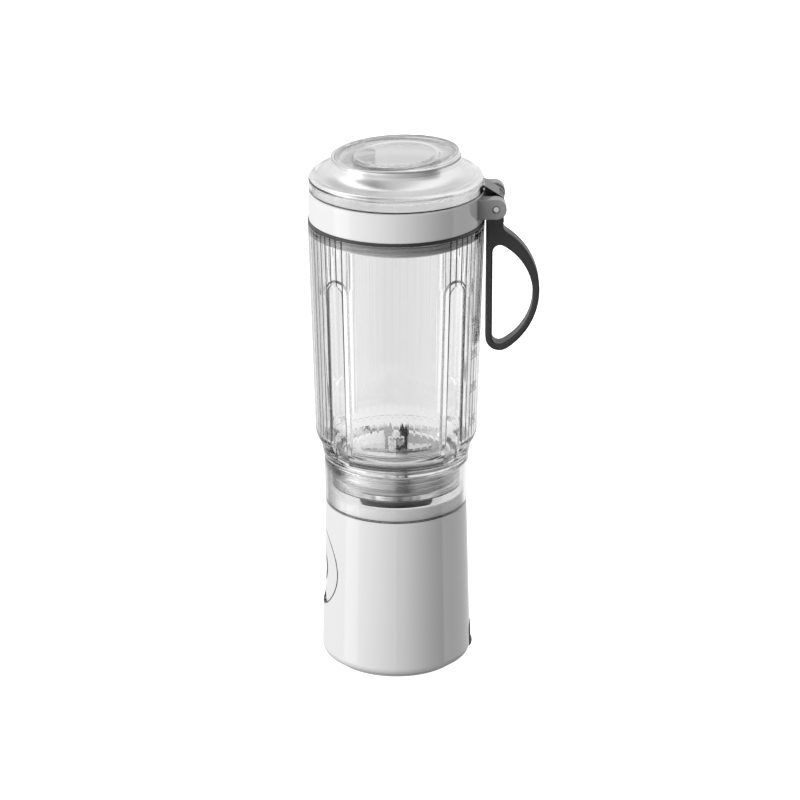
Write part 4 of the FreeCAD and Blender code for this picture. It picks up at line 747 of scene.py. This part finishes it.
def compass_ramp(tree, turn, levels):
    """Light level by compass angle; turn runs from 0 at -180 degrees to 1 at +180 degrees."""
    ramp = tree.nodes.new("ShaderNodeValToRGB")
    tree.links.new(turn, ramp.inputs["Fac"])
    brightest = max(level for _, level in levels)
    stops = ramp.color_ramp.elements
    for i, (degrees, _) in enumerate(levels):
        position = degrees / 360 + 0.5
        stop = stops[i] if i < 2 else stops.new(position)
        stop.position = position
    for stop, (_, level) in zip(stops, levels):
        stop.color = opaque(level / brightest)
    scaled = tree.nodes.new("ShaderNodeMath")
    scaled.operation = "MULTIPLY"
    scaled.inputs[1].default_value = brightest
    tree.links.new(ramp.outputs["Color"], scaled.inputs[0])
    return scaled.outputs[0]


def feed(tree, value, socket):
    """Give a socket a fixed level or another socket's."""
    if isinstance(value, float):
        socket.default_value = value
    else:
        tree.links.new(value, socket)


def studio_level(tree, turn, height, around, floor, ceiling):
    """Light level by direction: a ring of compass levels between floor and ceiling.  A ceiling may vary too."""
    level = compass_ramp(tree, turn, around)
    if isinstance(ceiling, tuple):
        ceiling = compass_ramp(tree, turn, ceiling)
    for (start, end), low in ((FLOOR_SINE, True), (CEILING_SINE, False)):
        ends = (floor, level) if low else (level, ceiling)
        share = tree.nodes.new("ShaderNodeMapRange")
        share.inputs["From Min"].default_value = start
        share.inputs["From Max"].default_value = end
        tree.links.new(height, share.inputs["Value"])
        mix = tree.nodes.new("ShaderNodeMix")
        tree.links.new(share.outputs["Result"], mix.inputs[0])
        feed(tree, ends[0], mix.inputs[2])
        feed(tree, ends[1], mix.inputs[3])
        level = mix.outputs[0]
    return level


def make_studio():
    """World seen in gloss and through plastic, with an even fill for matt faces and a white backdrop."""
    world = bpy.data.worlds.new("studio")
    world.use_nodes = True
    world.cycles.sampling_method = "NONE"
    SCENE.world = world
    tree = world.node_tree
    nodes, links = tree.nodes, tree.links
    split = nodes.new("ShaderNodeSeparateXYZ")
    links.new(nodes.new("ShaderNodeTexCoord").outputs["Generated"], split.inputs[0])
    angle = nodes.new("ShaderNodeMath")
    angle.operation = "ARCTAN2"
    links.new(split.outputs["Y"], angle.inputs[0])
    links.new(split.outputs["X"], angle.inputs[1])
    turn = nodes.new("ShaderNodeMapRange")
    turn.inputs["From Min"].default_value = -math.pi
    turn.inputs["From Max"].default_value = math.pi
    links.new(angle.outputs[0], turn.inputs["Value"])
    rays = nodes.new("ShaderNodeLightPath")
    way = turn.outputs["Result"], split.outputs["Z"]
    light = studio_level(tree, *way, MIRRORED, MIRRORED_FLOOR, MIRRORED_CEILING)
    seen = studio_level(tree, *way, SEEN_THROUGH, SEEN_FLOOR, SEEN_CEILING)
    by_ray = (("Is Transmission Ray", seen), ("Is Diffuse Ray", DIFFUSE_LIGHT),
              ("Is Camera Ray", BACKDROP_LIGHT))
    for kind, level in by_ray:
        mix = nodes.new("ShaderNodeMix")
        links.new(rays.outputs[kind], mix.inputs[0])
        links.new(light, mix.inputs[2])
        feed(tree, level, mix.inputs[3])
        light = mix.outputs[0]
    links.new(light, nodes["Background"].inputs["Color"])


SOFT_BOX_HEIGHT = 0.75
SOFT_BOX_DISTANCE = 1.5
SOFT_BOX_WIDTH, SOFT_BOX_TALL = 1.1, 1.5
SOFT_BOX_AIM = Vector((0.0, 0.0, 0.15))


def soft_box(name, degrees, power):
    """Soft box at a compass angle, aimed at the middle of the jar; neither gloss nor plastic shows it."""
    data = bpy.data.lights.new(name, "AREA")
    data.shape = "RECTANGLE"
    data.size, data.size_y = SOFT_BOX_WIDTH, SOFT_BOX_TALL
    data.energy = power
    lamp = bpy.data.objects.new(name, data)
    turn = math.radians(degrees)
    away = SOFT_BOX_DISTANCE
    lamp.location = (away * math.cos(turn), away * math.sin(turn), SOFT_BOX_HEIGHT)
    lamp.rotation_mode = "QUATERNION"
    lamp.rotation_quaternion = (SOFT_BOX_AIM - lamp.location).to_track_quat("-Z", "Y")
    lamp.visible_camera = False
    lamp.visible_glossy = False
    lamp.visible_transmission = False
    SCENE.collection.objects.link(lamp)


FLOOR_RADIUS = 9.0
FLOOR_Z = -0.0002


def make_floor():
    """Wide pale floor that only the camera sees: gloss and plastic show the studio round the object."""
    shape = bmesh.new()
    bmesh.ops.create_circle(shape, cap_ends=True, segments=96, radius=FLOOR_RADIUS)
    mesh = bpy.data.meshes.new("floor")
    shape.to_mesh(mesh)
    shape.free()
    floor = bpy.data.objects.new("floor", mesh)
    floor.location.z = FLOOR_Z
    s = Shader("floor_paper")
    s.surface(Base_Color=s.tint(s.noise(3.0), 0.80, 0.82), Roughness=0.9,
              Emission_Color=opaque(1.0), Emission_Strength=FLOOR_LIGHT)
    mesh.materials.append(s.bump(s.noise(400.0), 0.05, 0.0005).material)
    floor.visible_glossy = False
    floor.visible_transmission = False
    floor.visible_diffuse = False
    SCENE.collection.objects.link(floor)


# ---------------------------------------------------------------- make
MATERIALS = make_materials()
make_camera()
make_studio()
soft_box("key", -54, 22.5)
soft_box("back", 172, 18.0)
make_floor()
dress_nodes()
power_symbol()
fill_marks()
for row in THREADS:
    thread(*row)

# a ray crosses many walls of clear plastic
SCENE.cycles.max_bounces = 24
SCENE.cycles.transmission_bounces = 24
SCENE.cycles.glossy_bounces = 12
SCENE.view_settings.view_transform = "Standard"
